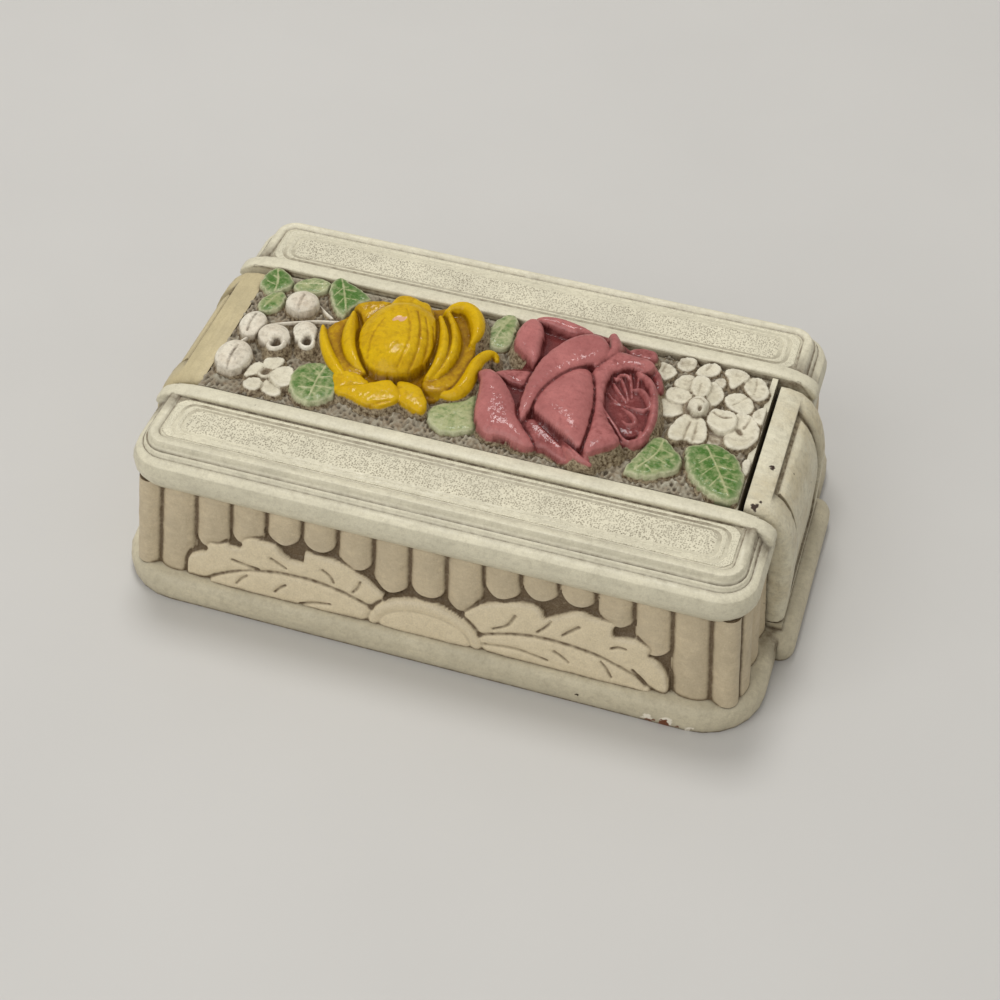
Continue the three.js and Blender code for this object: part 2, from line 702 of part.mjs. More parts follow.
// A board with a tongue along each side, and a raised rim at its right end
function lidBoard() {
  const half = LID_WIDTH / 2;
  const tongueHalf = half + TONGUE_DEPTH;
  const board = blockBetween(
    new THREE.Vector3(-LID_END, -half, LID_BOTTOM),
    new THREE.Vector3(LID_END, half, GROUND_LEVEL),
  );
  const tongues = blockBetween(
    new THREE.Vector3(-LID_END, -tongueHalf, TONGUE_BOTTOM),
    new THREE.Vector3(LID_END, tongueHalf, TONGUE_BOTTOM + TONGUE_THICKNESS),
  );
  const rim = blockBetween(
    new THREE.Vector3(LID_END - RIM_WIDTH, -half, GROUND_LEVEL - RIM_RISE),
    new THREE.Vector3(LID_END, half, GROUND_LEVEL + RIM_RISE),
  );
  addPiece('lid_board', join([board, tongues, rim]), ground);
}

// Carving on the lid. Places are shares of the lid's half length and half width.

function lidSpot([lengthShare, widthShare], height) {
  const x = lengthShare * LID_END;
  const y = (widthShare * LID_WIDTH) / 2;
  return new THREE.Vector3(x, y, GROUND_LEVEL + height);
}

// Keeps carving above the lid's ground, within its edges and clear of its rim
function onLid(solid) {
  const half = LID_WIDTH / 2;
  const low = new THREE.Vector3(-LID_END, -half, GROUND_LEVEL);
  const high = new THREE.Vector3(LID_END - RIM_WIDTH - CARVING_GAP, half, RAIL_TOP + ROSE_HEIGHT);
  return solid.intersect(blockBetween(low, high));
}

// A rounded mound on the ground, longest along its angle
function mound(centre, length, width, height, angle) {
  const geometry = new THREE.SphereGeometry(1, MOUND_SIDES, MOUND_LEVELS);
  geometry.rotateX(Math.PI / 2);
  geometry.scale(length / 2, width / 2, height);
  geometry.rotateZ(THREE.MathUtils.degToRad(angle));
  geometry.translate(centre.x, centre.y, centre.z);
  return toSolid(geometry);
}

// Petals as mounds: place, length and width as shares of the flower's own, height share, angle
function petalMounds(centre, size, mounds, extra) {
  return mounds.map(([x, y, lengthShare, widthShare, heightShare, angle]) => {
    const spot = centre.clone();
    spot.x += (x * size.x) / 2;
    spot.y += (y * size.y) / 2;
    const length = lengthShare * size.x + 2 * extra;
    const width = widthShare * size.y + 2 * extra;
    return mound(spot, length, width, heightShare * size.z + extra, angle);
  });
}

// Curled petal edges as bars: a path in shares of the flower's half sizes and height, then thickness
function petalBars(centre, size, bars, extra) {
  return bars.map(({ pathShares, widthShare, riseShare }) => {
    const path = pathShares.map(([x, y, z]) => {
      const offset = new THREE.Vector3((x * size.x) / 2, (y * size.y) / 2, z * size.z);
      return centre.clone().add(offset);
    });
    return taperedBar(path, widthShare * size.x + extra, riseShare * size.z + extra, BAR_STEPS);
  });
}

// The yellow bloom: a ribbed bud held by long curling petals
const bloomMoundShares = [
  [0, 0, 0.94, 0.9, 0.22, 0],
  [0.42, 0.15, 0.34, 0.66, 0.35, 0],
  [0.48, 0.6, 0.34, 0.3, 0.5, 125],
  [-0.12, -0.8, 0.38, 0.2, 0.45, 8],
  [0.36, -0.74, 0.34, 0.2, 0.42, -18],
];
const bloomBarShares = [
  {
    pathShares: [[-1.01, 0.1, 0.35], [-0.77, -0.25, 0.35], [-0.44, -0.52, 0.3], [-0.12, -0.62, 0.2]],
    widthShare: 0.045,
    riseShare: 0.42,
  },
  {
    pathShares: [[-0.69, 0.5, 0.4], [-0.67, 0.15, 0.45], [-0.48, -0.2, 0.45], [-0.25, -0.48, 0.3]],
    widthShare: 0.055,
    riseShare: 0.5,
  },
  {
    pathShares: [[-0.64, 0.58, 0.4], [-0.4, 0.7, 0.4], [-0.15, 0.76, 0.4]],
    widthShare: 0.06,
    riseShare: 0.4,
  },
  {
    pathShares: [[0.2, 0.66, 0.5], [0.43, 0.28, 0.55], [0.45, -0.15, 0.5], [0.28, -0.42, 0.4]],
    widthShare: 0.05,
    riseShare: 0.5,
  },
  {
    pathShares: [[0.36, 0.8, 0.4], [0.61, 0.28, 0.45], [0.61, -0.18, 0.4], [0.46, -0.44, 0.3]],
    widthShare: 0.05,
    riseShare: 0.45,
  },
  {
    pathShares: [[0.28, 0.76, 0.4], [0.45, 0.98, 0.5], [0.74, 0.78, 0.5], [0.74, 0.3, 0.4]],
    widthShare: 0.06,
    riseShare: 0.5,
  },
  {
    pathShares: [[1.04, 0.28, 0.3], [0.9, 0.12, 0.4], [0.86, -0.3, 0.4], [0.6, -0.52, 0.25]],
    widthShare: 0.05,
    riseShare: 0.42,
  },
];

// Meridian ribs run over the bud from back to front
function bud(centre, extra) {
  const geometry = new THREE.SphereGeometry(1, 3 * BUD_RIBS, BALL_LEVELS);
  const position = geometry.attributes.position;
  for (let i = 0; i < position.count; i += 1) {
    const turn = Math.atan2(position.getZ(i), position.getX(i));
    const swell = 1 + BUD_RIB_SHARE * Math.cos(BUD_RIBS * turn);
    position.setX(i, position.getX(i) * swell);
    position.setZ(i, position.getZ(i) * swell);
  }
  geometry.scale(BUD_WIDTH / 2 + extra, BUD_LENGTH / 2 + extra, BLOOM_HEIGHT + extra);
  geometry.translate(centre.x, centre.y, centre.z);
  return toSolid(geometry);
}

function bloomSolid(extra) {
  const centre = lidSpot(BLOOM_PLACE_SHARES, 0);
  const size = new THREE.Vector3(BLOOM_WIDTH, BLOOM_LENGTH, BLOOM_HEIGHT);
  return onLid(join([
    bud(centre, extra),
    ...petalMounds(centre, size, bloomMoundShares, extra),
    ...petalBars(centre, size, bloomBarShares, extra),
  ]));
}

// The rose: broad petals wrapped round a coiled heart that faces right
const roseMoundShares = [
  [0, 0, 0.86, 0.84, 0.5, 0],
  [-0.1, 0.34, 0.68, 0.26, 0.9, 62],
  [0.07, -0.32, 0.6, 0.32, 1, -80],
  [-0.71, -0.48, 0.56, 0.18, 0.6, -62],
  [0.02, -0.82, 0.46, 0.16, 0.55, -22],
  [-0.64, 0.62, 0.38, 0.17, 0.7, -65],
  [-0.42, 0.88, 0.3, 0.12, 0.7, 0],
  [0.55, 0.78, 0.24, 0.15, 0.5, -10],
  [0.72, 0.5, 0.4, 0.22, 0.7, -70],
  [0.74, -0.5, 0.28, 0.18, 0.6, 60],
];
const roseBarShares = [
  {
    pathShares: [[0.6, 0.42, 0.6], [0.34, 0.2, 0.7], [0.36, -0.24, 0.7], [0.62, -0.55, 0.55]],
    widthShare: 0.035,
    riseShare: 0.5,
  },
  {
    pathShares: [[0.58, 0.46, 0.55], [0.86, 0.2, 0.6], [0.88, -0.18, 0.6], [0.7, -0.55, 0.5]],
    widthShare: 0.035,
    riseShare: 0.5,
  },
  {
    pathShares: [[0.56, 0.16, 0.6], [0.72, 0, 0.65], [0.68, -0.26, 0.6], [0.5, -0.3, 0.55]],
    widthShare: 0.03,
    riseShare: 0.45,
  },
];

function roseSolid(extra) {
  const centre = lidSpot(ROSE_PLACE_SHARES, 0);
  const size = new THREE.Vector3(ROSE_WIDTH, ROSE_LENGTH, ROSE_HEIGHT);
  return onLid(join([
    ...petalMounds(centre, size, roseMoundShares, extra),
    ...petalBars(centre, size, roseBarShares, extra),
  ]));
}

// A leaf with a sunk midrib, pointing along its angle
function leafSolid(centre, length, width, angle, extra) {
  const half = length / 2 + extra;
  const full = LEAF_FULL_SHARE * width + extra;
  const shape = new THREE.Shape();
  shape.moveTo(-half, 0);
  shape.bezierCurveTo(-half, -full, half / 4, -full, half, 0);
  shape.bezierCurveTo(half / 4, full, -half, full, -half, 0);
  const leaf = new THREE.ExtrudeGeometry(shape, {
    depth: LEAF_THICKNESS - LEAF_EDGE,
    bevelThickness: LEAF_EDGE,
    bevelSize: LEAF_EDGE,
    bevelOffset: -LEAF_EDGE,
    bevelSegments: 1,
    curveSegments: ARC_STEPS,
  });
  const midrib = new THREE.CylinderGeometry(LEAF_EDGE, LEAF_EDGE, length + OVERRUN, 4);
  midrib.rotateZ(Math.PI / 2);
  midrib.translate(0, 0, LEAF_THICKNESS);
  const [blade, groove] = [leaf, midrib].map((geometry) => {
    geometry.rotateZ(THREE.MathUtils.degToRad(angle));
    geometry.translate(centre.x, centre.y, centre.z);
    return toSolid(geometry);
  });
  return onLid(extra > 0 ? blade : blade.subtract(groove));
}

// Name, place, then length and width as shares of the lid's width, and where the tip points in degrees
const leafShares = [
  ['leaf_left_corner', [-0.935, 0.7], 0.23, 0.16, 112],
  ['leaf_left_low', [-0.915, 0.36], 0.19, 0.12, 240],
  ['leaf_left_back', [-0.8, 0.78], 0.22, 0.12, 14],
  ['leaf_beside_bloom', [-0.655, 0.68], 0.34, 0.18, 122],
  ['leaf_between_back', [-0.03, 0.7], 0.32, 0.16, 78],
  ['leaf_round', [-0.585, -0.68], 0.28, 0.27, -80],
  ['leaf_between_front', [-0.075, -0.68], 0.27, 0.2, -75],
  ['leaf_right_front', [0.68, -0.66], 0.34, 0.2, 236],
  ['leaf_right_corner', [0.875, -0.66], 0.36, 0.23, 298],
];

function leafPieces(flowers) {
  const grown = [];
  leafShares.forEach(([name, place, lengthShare, widthShare, angle]) => {
    const size = [lengthShare * LID_WIDTH, widthShare * LID_WIDTH, angle];
    const leaf = leafSolid(lidSpot(place, 0), ...size, 0);
    addPiece(name, cutBy(leaf, [...flowers, ...grown]), green);
    grown.push(leafSolid(lidSpot(place, 0), ...size, CARVING_GAP));
  });
  return grown;
}

// A round berry with a calyx hole that looks forward and up
function berrySolid(place, sizeShare, extra) {
  const centre = lidSpot(place, BERRY_LIFT);
  const radius = sizeShare * BERRY_RADIUS;
  const berry = new THREE.SphereGeometry(radius + extra, BALL_SIDES, BALL_LEVELS);
  berry.translate(centre.x, centre.y, centre.z);
  const calyx = new THREE.SphereGeometry(CALYX_RADIUS, BALL_SIDES / 2, BALL_LEVELS / 2);
  const [forward, up] = CALYX_TURN_SHARES;
  calyx.translate(centre.x, centre.y - forward * radius, centre.z + up * radius);
  return onLid(extra > 0 ? toSolid(berry) : toSolid(berry).subtract(toSolid(calyx)));
}

const berryShares = [
  ['berry_back', [-0.775, 0.36], 0.95],
  ['berry_left', [-0.915, 0], 0.9],
  ['berry_middle', [-0.8, -0.2], 1],
  ['berry_right', [-0.68, 0.02], 0.8],
  ['berry_front', [-0.91, -0.64], 1.15],
];

function berryPieces(neighbours) {
  const grown = [];
  berryShares.forEach(([name, place, sizeShare]) => {
    addPiece(name, cutBy(berrySolid(place, sizeShare, 0), [...neighbours, ...grown]), berryCream);
    grown.push(berrySolid(place, sizeShare, CARVING_GAP));
  });
  return grown;
}

// Five petals round a raised heart
function blossomSolid(place, sizeShare, turn, extra) {
  const centre = lidSpot(place, 0);
  const radius = sizeShare * BLOSSOM_RADIUS;
  const length = PETAL_LENGTH_SHARE * radius + 2 * extra;
  const width = PETAL_WIDTH_SHARE * radius + 2 * extra;
  const height = PETAL_HEIGHT_SHARE * BLOSSOM_HEIGHT + extra;
  const heartWidth = 2 * (HEART_SHARE * radius + extra);
  const solids = [mound(centre, heartWidth, heartWidth, BLOSSOM_HEIGHT + extra, 0)];
  for (let i = 0; i < BLOSSOM_PETALS; i += 1) {
    const angle = turn + (360 * i) / BLOSSOM_PETALS;
    const reach = new THREE.Vector3(PETAL_PLACE_SHARE * radius, 0, 0);
    reach.applyAxisAngle(new THREE.Vector3(0, 0, 1), THREE.MathUtils.degToRad(angle));
    solids.push(mound(centre.clone().add(reach), length, width, height, angle));
  }
  return onLid(join(solids));
}

// Name, place, size as a share of the largest blossom, and turn in degrees
const blossomShares = [
  ['blossom_large', [0.755, 0.16], 1, 20],
  ['blossom_upper', [0.88, 0.66], 0.76, 50],
  ['blossom_side', [0.9, 0], 0.6, 10],
  ['blossom_back', [0.72, 0.84], 0.5, 35],
  ['blossom_by_rose', [0.62, 0.68], 0.5, 0],
  ['blossom_left', [-0.785, -0.68], 0.68, 18],
];

function blossomPieces(neighbours) {
  const grown = [];
  blossomShares.forEach(([name, place, sizeShare, turn]) => {
    const blossom = blossomSolid(place, sizeShare, turn, 0);
    addPiece(name, cutBy(blossom, [...neighbours, ...grown]), petalCream);
    grown.push(blossomSolid(place, sizeShare, turn, CARVING_GAP));
  });
}

// The stem winds between the berries
const stemShares = [[-0.86, -0.38], [-0.86, -0.12], [-0.8, 0.08], [-0.72, 0.2], [-0.6, 0.26]];

function stemPiece(neighbours) {
  const path = stemShares.map((place) => lidSpot(place, 0));
  const stem = onLid(taperedBar(path, STEM_RADIUS, STEM_RISE, 2 * BAR_STEPS));
  addPiece('berry_stem', cutBy(stem, neighbours), berryCream);
}

function carving() {
  const roseGrown = roseSolid(CARVING_GAP);
  addPiece('rose', roseSolid(0), pink);
  addPiece('yellow_bloom', bloomSolid(0).subtract(roseGrown), yellow);
  const flowers = [roseGrown, bloomSolid(CARVING_GAP)];
  const leaves = leafPieces(flowers);
  const berries = berryPieces([...flowers, ...leaves]);
  blossomPieces([...flowers, ...leaves, ...berries]);
  stemPiece([...flowers, ...leaves, ...berries]);
}

baseBoard();
walls();
rails();
blocks();
lidBoard();
carving();

export default box;
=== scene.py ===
import math
from collections import namedtuple

import bmesh
import bpy
import numpy as np
from mathutils import Matrix, Vector


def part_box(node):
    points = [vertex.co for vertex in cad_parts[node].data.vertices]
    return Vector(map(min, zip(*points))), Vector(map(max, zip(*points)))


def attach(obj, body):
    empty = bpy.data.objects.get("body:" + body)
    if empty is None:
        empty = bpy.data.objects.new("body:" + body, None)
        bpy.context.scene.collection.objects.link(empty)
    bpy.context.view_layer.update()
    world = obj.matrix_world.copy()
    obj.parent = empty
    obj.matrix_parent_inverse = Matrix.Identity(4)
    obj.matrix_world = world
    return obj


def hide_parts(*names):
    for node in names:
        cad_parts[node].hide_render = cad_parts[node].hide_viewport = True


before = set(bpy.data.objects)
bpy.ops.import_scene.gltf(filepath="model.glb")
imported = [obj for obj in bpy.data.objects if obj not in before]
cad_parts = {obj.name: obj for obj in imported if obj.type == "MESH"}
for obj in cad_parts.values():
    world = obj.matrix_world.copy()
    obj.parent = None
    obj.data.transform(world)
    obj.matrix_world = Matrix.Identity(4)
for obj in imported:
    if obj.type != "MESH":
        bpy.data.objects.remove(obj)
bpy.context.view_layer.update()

bl_info = {
    "name": "Carved trinket box",
    "version": (1, 0, 0),
    "blender": (4, 5, 0),
    "location": "View3D > Sidebar > Trinket Box",
    "description": "Carving, paint and stage for a trinket box with a sliding lid",
    "category": "Add Mesh",
}

MM = 0.001
FAR = 1e9

# Heights of the lid and the rails, in millimetres
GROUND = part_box("yellow_bloom")[0].z / MM
PANEL_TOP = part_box("front_rail")[1].z / MM - 1.3
# How deep a form reaches into the ground, how far its bottom lies below that, and the level at
# which a place counts as empty
SINK = 0.8
SKIRT = 0.2
UNDER = 0.6
# How high a form may stand over the ground, and the empty margin round it
HIGHEST = 10
MARGIN = 1.5
# How steeply the carving falls from the edge of a form, and how far it may reach
SLOPE = 2.3
REACH_X = 65.0
REACH_Y = 23.1
# The ledge of a form at its rim: how deep it is and how fast it ends
RIM_DROP = 0.3
RIM_WIDTH = 0.25

# The line of sight: places on the carving are written as seen at SIGHT_LEVEL
SIGHT_LEVEL = 46.0
SIGHT_LEAN = 1.067
SIGHT_X = 97.6
SIGHT_RISE = 301.4

# The walls, as the frame has them
WALL_HALF_X = 73.8
WALL_HALF_Y = 47.0
WALL_BATTER = 2.1
WALL_CORNER = 5.0
WALL_QUARTER = math.pi * WALL_CORNER / 2
WALL_REACH = 2 * math.pi * WALL_CORNER + 4 * (WALL_HALF_X + WALL_HALF_Y + WALL_BATTER) - 8 * WALL_CORNER
WALL_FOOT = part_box("front_wall")[0].z / MM
WALL_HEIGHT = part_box("front_wall")[1].z / MM - WALL_FOOT
FRONT_INNER = abs(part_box("front_wall")[1].y) / MM
END_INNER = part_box("right_end_wall")[0].x / MM
# The lifting block and its tongue, behind which the right end wall is cut back by SEAT_GAP
BLOCK_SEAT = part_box("key_tongue")[1].x / MM
TONGUE_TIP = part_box("key_tongue")[0].x / MM
TONGUE_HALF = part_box("key_tongue")[1].y / MM
TONGUE_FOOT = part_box("key_tongue")[0].z / MM
BLOCK_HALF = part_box("key_block")[1].y / MM
SEAT_GAP = 0.3
# How far in from the face the top of an end wall is level again
LEDGE = 0.8
# How far the ribs are tucked up under the rails, and where the lid passes over the end walls
WALL_TUCK = 2.2
OPENING = 24.2
FLUTES = 54
FLUTE_DEPTH = 1.6


def colour_setting(name, description, default):
    """A colour in the panel."""
    return bpy.props.FloatVectorProperty(
        name=name, description=description, subtype="COLOR_GAMMA", size=3, min=0, max=1, default=default)


class PaintSettings(bpy.types.PropertyGroup):
    """Colours of the painted parts"""

    cream: colour_setting(
        "Cream", "Paint on the rails, the foot and the lifting block", (0.893, 0.866, 0.764))
    tan: colour_setting("Fluting", "Stain on the ribs of the walls", (0.83, 0.765, 0.64))
    antique: colour_setting("Antiquing", "Brown glaze wiped into the recesses", (0.37, 0.295, 0.20))
    bloom: colour_setting("Bloom", "Glossy paint on the yellow bloom", (0.86, 0.70, 0.01))
    rose: colour_setting("Rose", "Glossy paint on the rose", (0.735, 0.45, 0.435))
    leaf: colour_setting("Leaves", "Green paint on the leaves", (0.24, 0.425, 0.13))


class CarvingSettings(bpy.types.PropertyGroup):
    """How finely the carving is cut"""

    flower_step: bpy.props.FloatProperty(
        name="Flower step", description="Distance between points on the flowers",
        subtype="DISTANCE", min=0.0001, max=0.002, default=0.00022)
    wall_step: bpy.props.FloatProperty(
        name="Wall step", description="Distance between points on the walls",
        subtype="DISTANCE", min=0.0001, max=0.002, default=0.0003)
    # Share by which crests are paled: rubbed paint, and a painted highlight
    wear_and_highlight: bpy.props.FloatProperty(
        name="Wear", description="Share of the paint that is rubbed and stained",
        subtype="FACTOR", min=0, max=1, default=0.5)


class StageSettings(bpy.types.PropertyGroup):
    """The floor, the backdrop and the lamps"""

    pale: colour_setting("Backdrop", "Colour of the floor and the backdrop", (0.795, 0.787, 0.77))
    radius: bpy.props.FloatProperty(
        name="Radius", description="Distance from the box to the backdrop",
        subtype="DISTANCE", min=0.5, max=5, default=1.6)


# Forms of the carving, each with its points in one line of numbers: a petal rises from an edge
# level to a top level inside its outline of (x, y), a ridge follows a path of (x, y, level, half
# width), a cut follows one of (x, y, half width)
Petal = namedtuple("Petal", "edge top soft tone line lean rounds", defaults=[(0, 0), 2])
Ridge = namedtuple("Ridge", "tone line")
Cut = namedtuple("Cut", "depth tone line")
NUMBERS_A_POINT = {Petal: 2, Ridge: 4, Cut: 3}


def points_of(form):
    """A form's points in rows."""
    return np.array(form.line, float).reshape(-1, NUMBERS_A_POINT[type(form)])


def pairs(line):
    """Places (x, y) of one line of numbers."""
    return list(zip(line[::2], line[1::2]))


def as_seen(points, level):
    """Moves places along the line of sight from the sight level to their own."""
    rise = np.asarray(level, float) - SIGHT_LEVEL
    x = points[:, 0] + (SIGHT_X - points[:, 0]) / SIGHT_RISE * rise
    return np.stack([x, points[:, 1] - SIGHT_LEAN * rise], axis=1)


def smooth_step(value):
    share = np.clip(value, 0, 1)
    return share * share * (3 - 2 * share)


def softened(points, closed, rounds=2):
    """Cuts the corners of an outline or a path, so that it runs smoothly."""
    for _ in range(rounds):
        after = np.roll(points, -1, axis=0) if closed else points[1:]
        before = points if closed else points[:-1]
        cut = np.stack([0.75 * before + 0.25 * after, 0.25 * before + 0.75 * after], axis=1)
        cut = cut.reshape(-1, points.shape[1])
        points = cut if closed else np.vstack([points[:1], cut, points[-1:]])
    return points


def to_side(places, start, side):
    """Distance to a straight side, and the share of it at the nearest point."""
    reach = places - start
    share = np.clip(reach @ side / max(side @ side, 1e-9), 0, 1)
    return np.hypot(*(reach - share[:, None] * side).T), share


def inside(places, outline):
    """How far each place lies inside an outline, and less than zero outside it."""
    nearest = np.full(len(places), FAR)
    odd = np.zeros(len(places), bool)
    for start, end in zip(outline, np.roll(outline, -1, axis=0)):
        side = end - start
        nearest = np.minimum(nearest, to_side(places, start, side)[0])
        crossed = (start[1] > places[:, 1]) != (end[1] > places[:, 1])
        slope = side[0] / side[1] if abs(side[1]) > 1e-9 else 0
        odd ^= crossed & (places[:, 0] < start[0] + slope * (places[:, 1] - start[1]))
    return np.where(odd, nearest, -nearest)


def along(places, path):
    """Distance to a path, and the path's other values at the nearest point of it."""
    nearest = np.full(len(places), FAR)
    values = np.zeros((len(places), path.shape[1] - 2))
    for start, end in zip(path[:-1], path[1:]):
        distance, share = to_side(places, start[:2], (end - start)[:2])
        closer = distance < nearest
        nearest = np.where(closer, distance, nearest)
        mixed = start[2:] + share[:, None] * (end - start)[2:]
        values = np.where(closer[:, None], mixed, values)
    return nearest, values


def dome(within, shape, reach):
    """Rises smoothly from the edge of a patch to 1 in its middle."""
    patch = within.reshape(shape).astype(float)
    swell = patch
    for _ in range(3):
        swell = blurred(swell, max(1, int(reach))) * patch
    return (swell / max(swell.max(), 1e-6)).ravel() ** 0.65


def petal_level(form, places, low, shape, step):
    outline = points_of(form)
    lean = np.array(form.lean, float)
    levels = form.edge + (outline - outline.mean(axis=0)) @ lean
    outline = softened(as_seen(outline, levels), True, form.rounds)
    depth = inside(places, outline) + 0.1 * ripple(places, 2.4, 5)
    swell = (form.top - form.edge) * dome(depth > 0, shape, 0.4 * form.soft / step)
    level = form.edge + (places - outline.mean(axis=0)) @ lean
    rounded = level + swell - RIM_DROP * np.exp(-np.maximum(depth, 0) / RIM_WIDTH)
    return np.maximum(np.where(depth > 0, rounded, level - RIM_DROP + SLOPE * depth), low), depth


def ridge_level(form, places, low, shape, step):
    path = points_of(form)
    path[:, :2] = as_seen(path[:, :2], path[:, 2])
    distance, values = along(places, softened(path, False))
    level, half = values[:, 0], np.maximum(values[:, 1], 0.05)
    share = distance / half
    rounding = 0.35 * (1 - np.sqrt(np.clip(1 - share * share, 0, 1)))
    crown = level - half * (rounding + 0.5 * np.clip(share, 0, 1) ** 1.5)
    crown -= SLOPE * np.maximum(distance - half, 0)
    return np.maximum(crown, low), half - distance


def shaped(places, forms, low, shape, step):
    """The height of the carving, its tone, how near a rim each place is, and where no form lies."""
    level = np.full(len(places), low)
    tone = np.zeros(len(places))
    rim = np.zeros(len(places))
    cover = np.full(len(places), -FAR)
    for form in forms:
        if isinstance(form, Cut):
            path = points_of(form)
            path[:, :2] = as_seen(path[:, :2], level.max() - 1)
            distance, values = along(places, softened(path, False))
            share = distance / np.maximum(values[:, 0], 0.05)
            groove = np.exp(-share * share)
            level = level - form.depth * groove
            tone = tone + (form.tone - tone) * np.clip(groove * 1.2, 0, 1)
            continue
        work = petal_level if isinstance(form, Petal) else ridge_level
        height, depth = work(form, places, low, shape, step)
        cover = np.maximum(cover, depth)
        above = height > level
        level = np.where(above, height, level)
        tone = np.where(above, form.tone, tone)
        rim = np.where(above, np.exp(-np.maximum(depth, 0) / 0.45), rim)
    return level, tone, rim, smooth_step(-cover / 0.3)


def blurred(heights, reach):
    """An even average over a square of cells, taken three times."""
    for _ in range(3):
        for axis in (0, 1):
            padding = [(0, 0), (0, 0)]
            padding[axis] = (reach + 1, reach)
            total = np.cumsum(np.pad(heights, padding, mode="edge"), axis=axis)
            size = heights.shape[axis]
            ends = np.take(total, range(2 * reach + 1, 2 * reach + 1 + size), axis=axis)
            starts = np.take(total, range(size), axis=axis)
            heights = (ends - starts) / (2 * reach + 1)
    return heights


def ripple(places, size, seed):
    """Soft random unevenness, from -1 to 1, the same on every run."""
    draw = np.random.default_rng(seed)
    total = np.zeros(len(places))
    for _ in range(9):
        turn = draw.uniform(0, 2 * math.pi)
        wave = 2 * math.pi / (size * draw.uniform(0.7, 1.5))
        run = places @ np.array([math.cos(turn), math.sin(turn)])
        total += np.sin(run * wave + draw.uniform(0, 2 * math.pi))
    return total / 4.5


def new_piece(name, work):
    """Makes a smooth object of a bmesh, its place in its mesh."""
    mesh = bpy.data.meshes.new(name)
    work.to_mesh(mesh)
    work.free()
    mesh.polygons.foreach_set("use_smooth", [True] * len(mesh.polygons))
    piece = bpy.data.objects.new(name, mesh)
    bpy.context.scene.collection.objects.link(piece)
    return piece


def grid(low, high, step):
    """A flat grid between two corners, in millimetres, with its points in rows."""
    size = np.array(high) - np.array(low)
    columns, rows = (int(math.ceil(length / step)) for length in size)
    work = bmesh.new()
    turn = Matrix.Translation(((low[0] + high[0]) / 2, (low[1] + high[1]) / 2, 0))
    turn @= Matrix.Diagonal((size[0], size[1], 1, 1))
    bmesh.ops.create_grid(work, x_segments=columns, y_segments=rows, size=0.5, matrix=turn)
    mesh = bpy.data.meshes.new("carving")
    work.to_mesh(mesh)
    work.free()
    flat = np.zeros(3 * len(mesh.vertices), np.float32)
    mesh.vertices.foreach_get("co", flat)
    places = flat.reshape(-1, 3)[:, :2].astype(float)
    order = np.lexsort((np.round(places[:, 0], 4), np.round(places[:, 1], 4)))
    return mesh, places[order], order, (rows + 1, columns + 1)


def set_points(mesh, order, points, values):
    """Moves a grid's points, given in rows, and keeps what is known of each of them."""
    back = np.empty(len(order), int)
    back[order] = np.arange(len(order))
    mesh.vertices.foreach_set("co", (points[back] * MM).astype(np.float32).ravel())
    for name, value in values.items():
        layer = mesh.attributes.new(name, "FLOAT", "POINT")
        layer.data.foreach_set("value", value[back].astype(np.float32))
    return back


def hollows(level, shape, step, floor):
    """How far each place lies below what is around it, and how far above, from 0 to 1."""
    table = np.maximum(level, floor).reshape(shape)
    near = blurred(table, max(1, int(0.7 / step))) - table
    wide = blurred(table, max(1, int(2.2 / step))) - table
    sunk = np.clip(near / 0.7, 0, 1) * 0.75 + np.clip(wide / 2.0, 0, 1) * 0.6
    return np.clip(sunk, 0, 1).ravel(), np.clip(-near / 0.5, 0, 1).ravel()


def opened(mesh):
    """A mesh taken up to be worked on."""
    work = bmesh.new()
    work.from_mesh(mesh)
    bpy.data.meshes.remove(mesh)
    work.verts.ensure_lookup_table()
    return work


def closed_relief(name, mesh, outside, bottom):
    """Cuts away the cells that lie outside, and closes what is left with a skirt and a flat bottom."""
    work = opened(mesh)
    outer = [face for face in work.faces if all(outside[v.index] for v in face.verts)]
    bmesh.ops.delete(work, geom=outer, context="FACES")
    loose = [vert for vert in work.verts if not vert.link_faces]
    bmesh.ops.delete(work, geom=loose, context="VERTS")
    edges = [edge for edge in work.edges if edge.is_boundary]
    for item in bmesh.ops.extrude_edge_only(work, edges=edges)["geom"]:
        if isinstance(item, bmesh.types.BMVert):
            item.co.z = bottom * MM
    edges = [edge for edge in work.edges if edge.is_boundary]
    bmesh.ops.holes_fill(work, edges=edges, sides=0)
    bmesh.ops.recalc_face_normals(work, faces=work.faces)
    return new_piece(name, work)


def relief(name, forms, step, sink=SINK, texture=0.02):
    """A closed piece of carving that stands on the lid's ground and reaches a little into it."""
    low = GROUND - sink
    under = low - UNDER
    corners = np.vstack([as_seen(points_of(form)[:, :2], level)
                         for form in forms for level in (GROUND, GROUND + HIGHEST)])
    mesh, places, order, shape = grid(corners.min(axis=0) - MARGIN, corners.max(axis=0) + MARGIN, step)
    level, tone, rim, skirt = shaped(places, forms, under, shape, step)
    rough = ripple(places, 2.6, 1) * ripple(places, 5.0, 2) + 0.5 * ripple(places, 1.3, 3)
    level = level + (texture + 0.22 * skirt) * rough * (level > low)
    beyond = (np.abs(places[:, 1]) > REACH_Y) | (places[:, 0] > REACH_X)
    level = np.where(beyond, under, level)
    sunk, crest = hollows(level, shape, step, GROUND)
    kept = level > low
    points = np.column_stack([places, np.where(kept, level, low)])
    known = {"hollow": sunk, "crest": crest, "tone": tone, "rim": rim, "skirt": skirt}
    back = set_points(mesh, order, points, known)
    return closed_relief(name, mesh, ~kept[back], low - SKIRT)


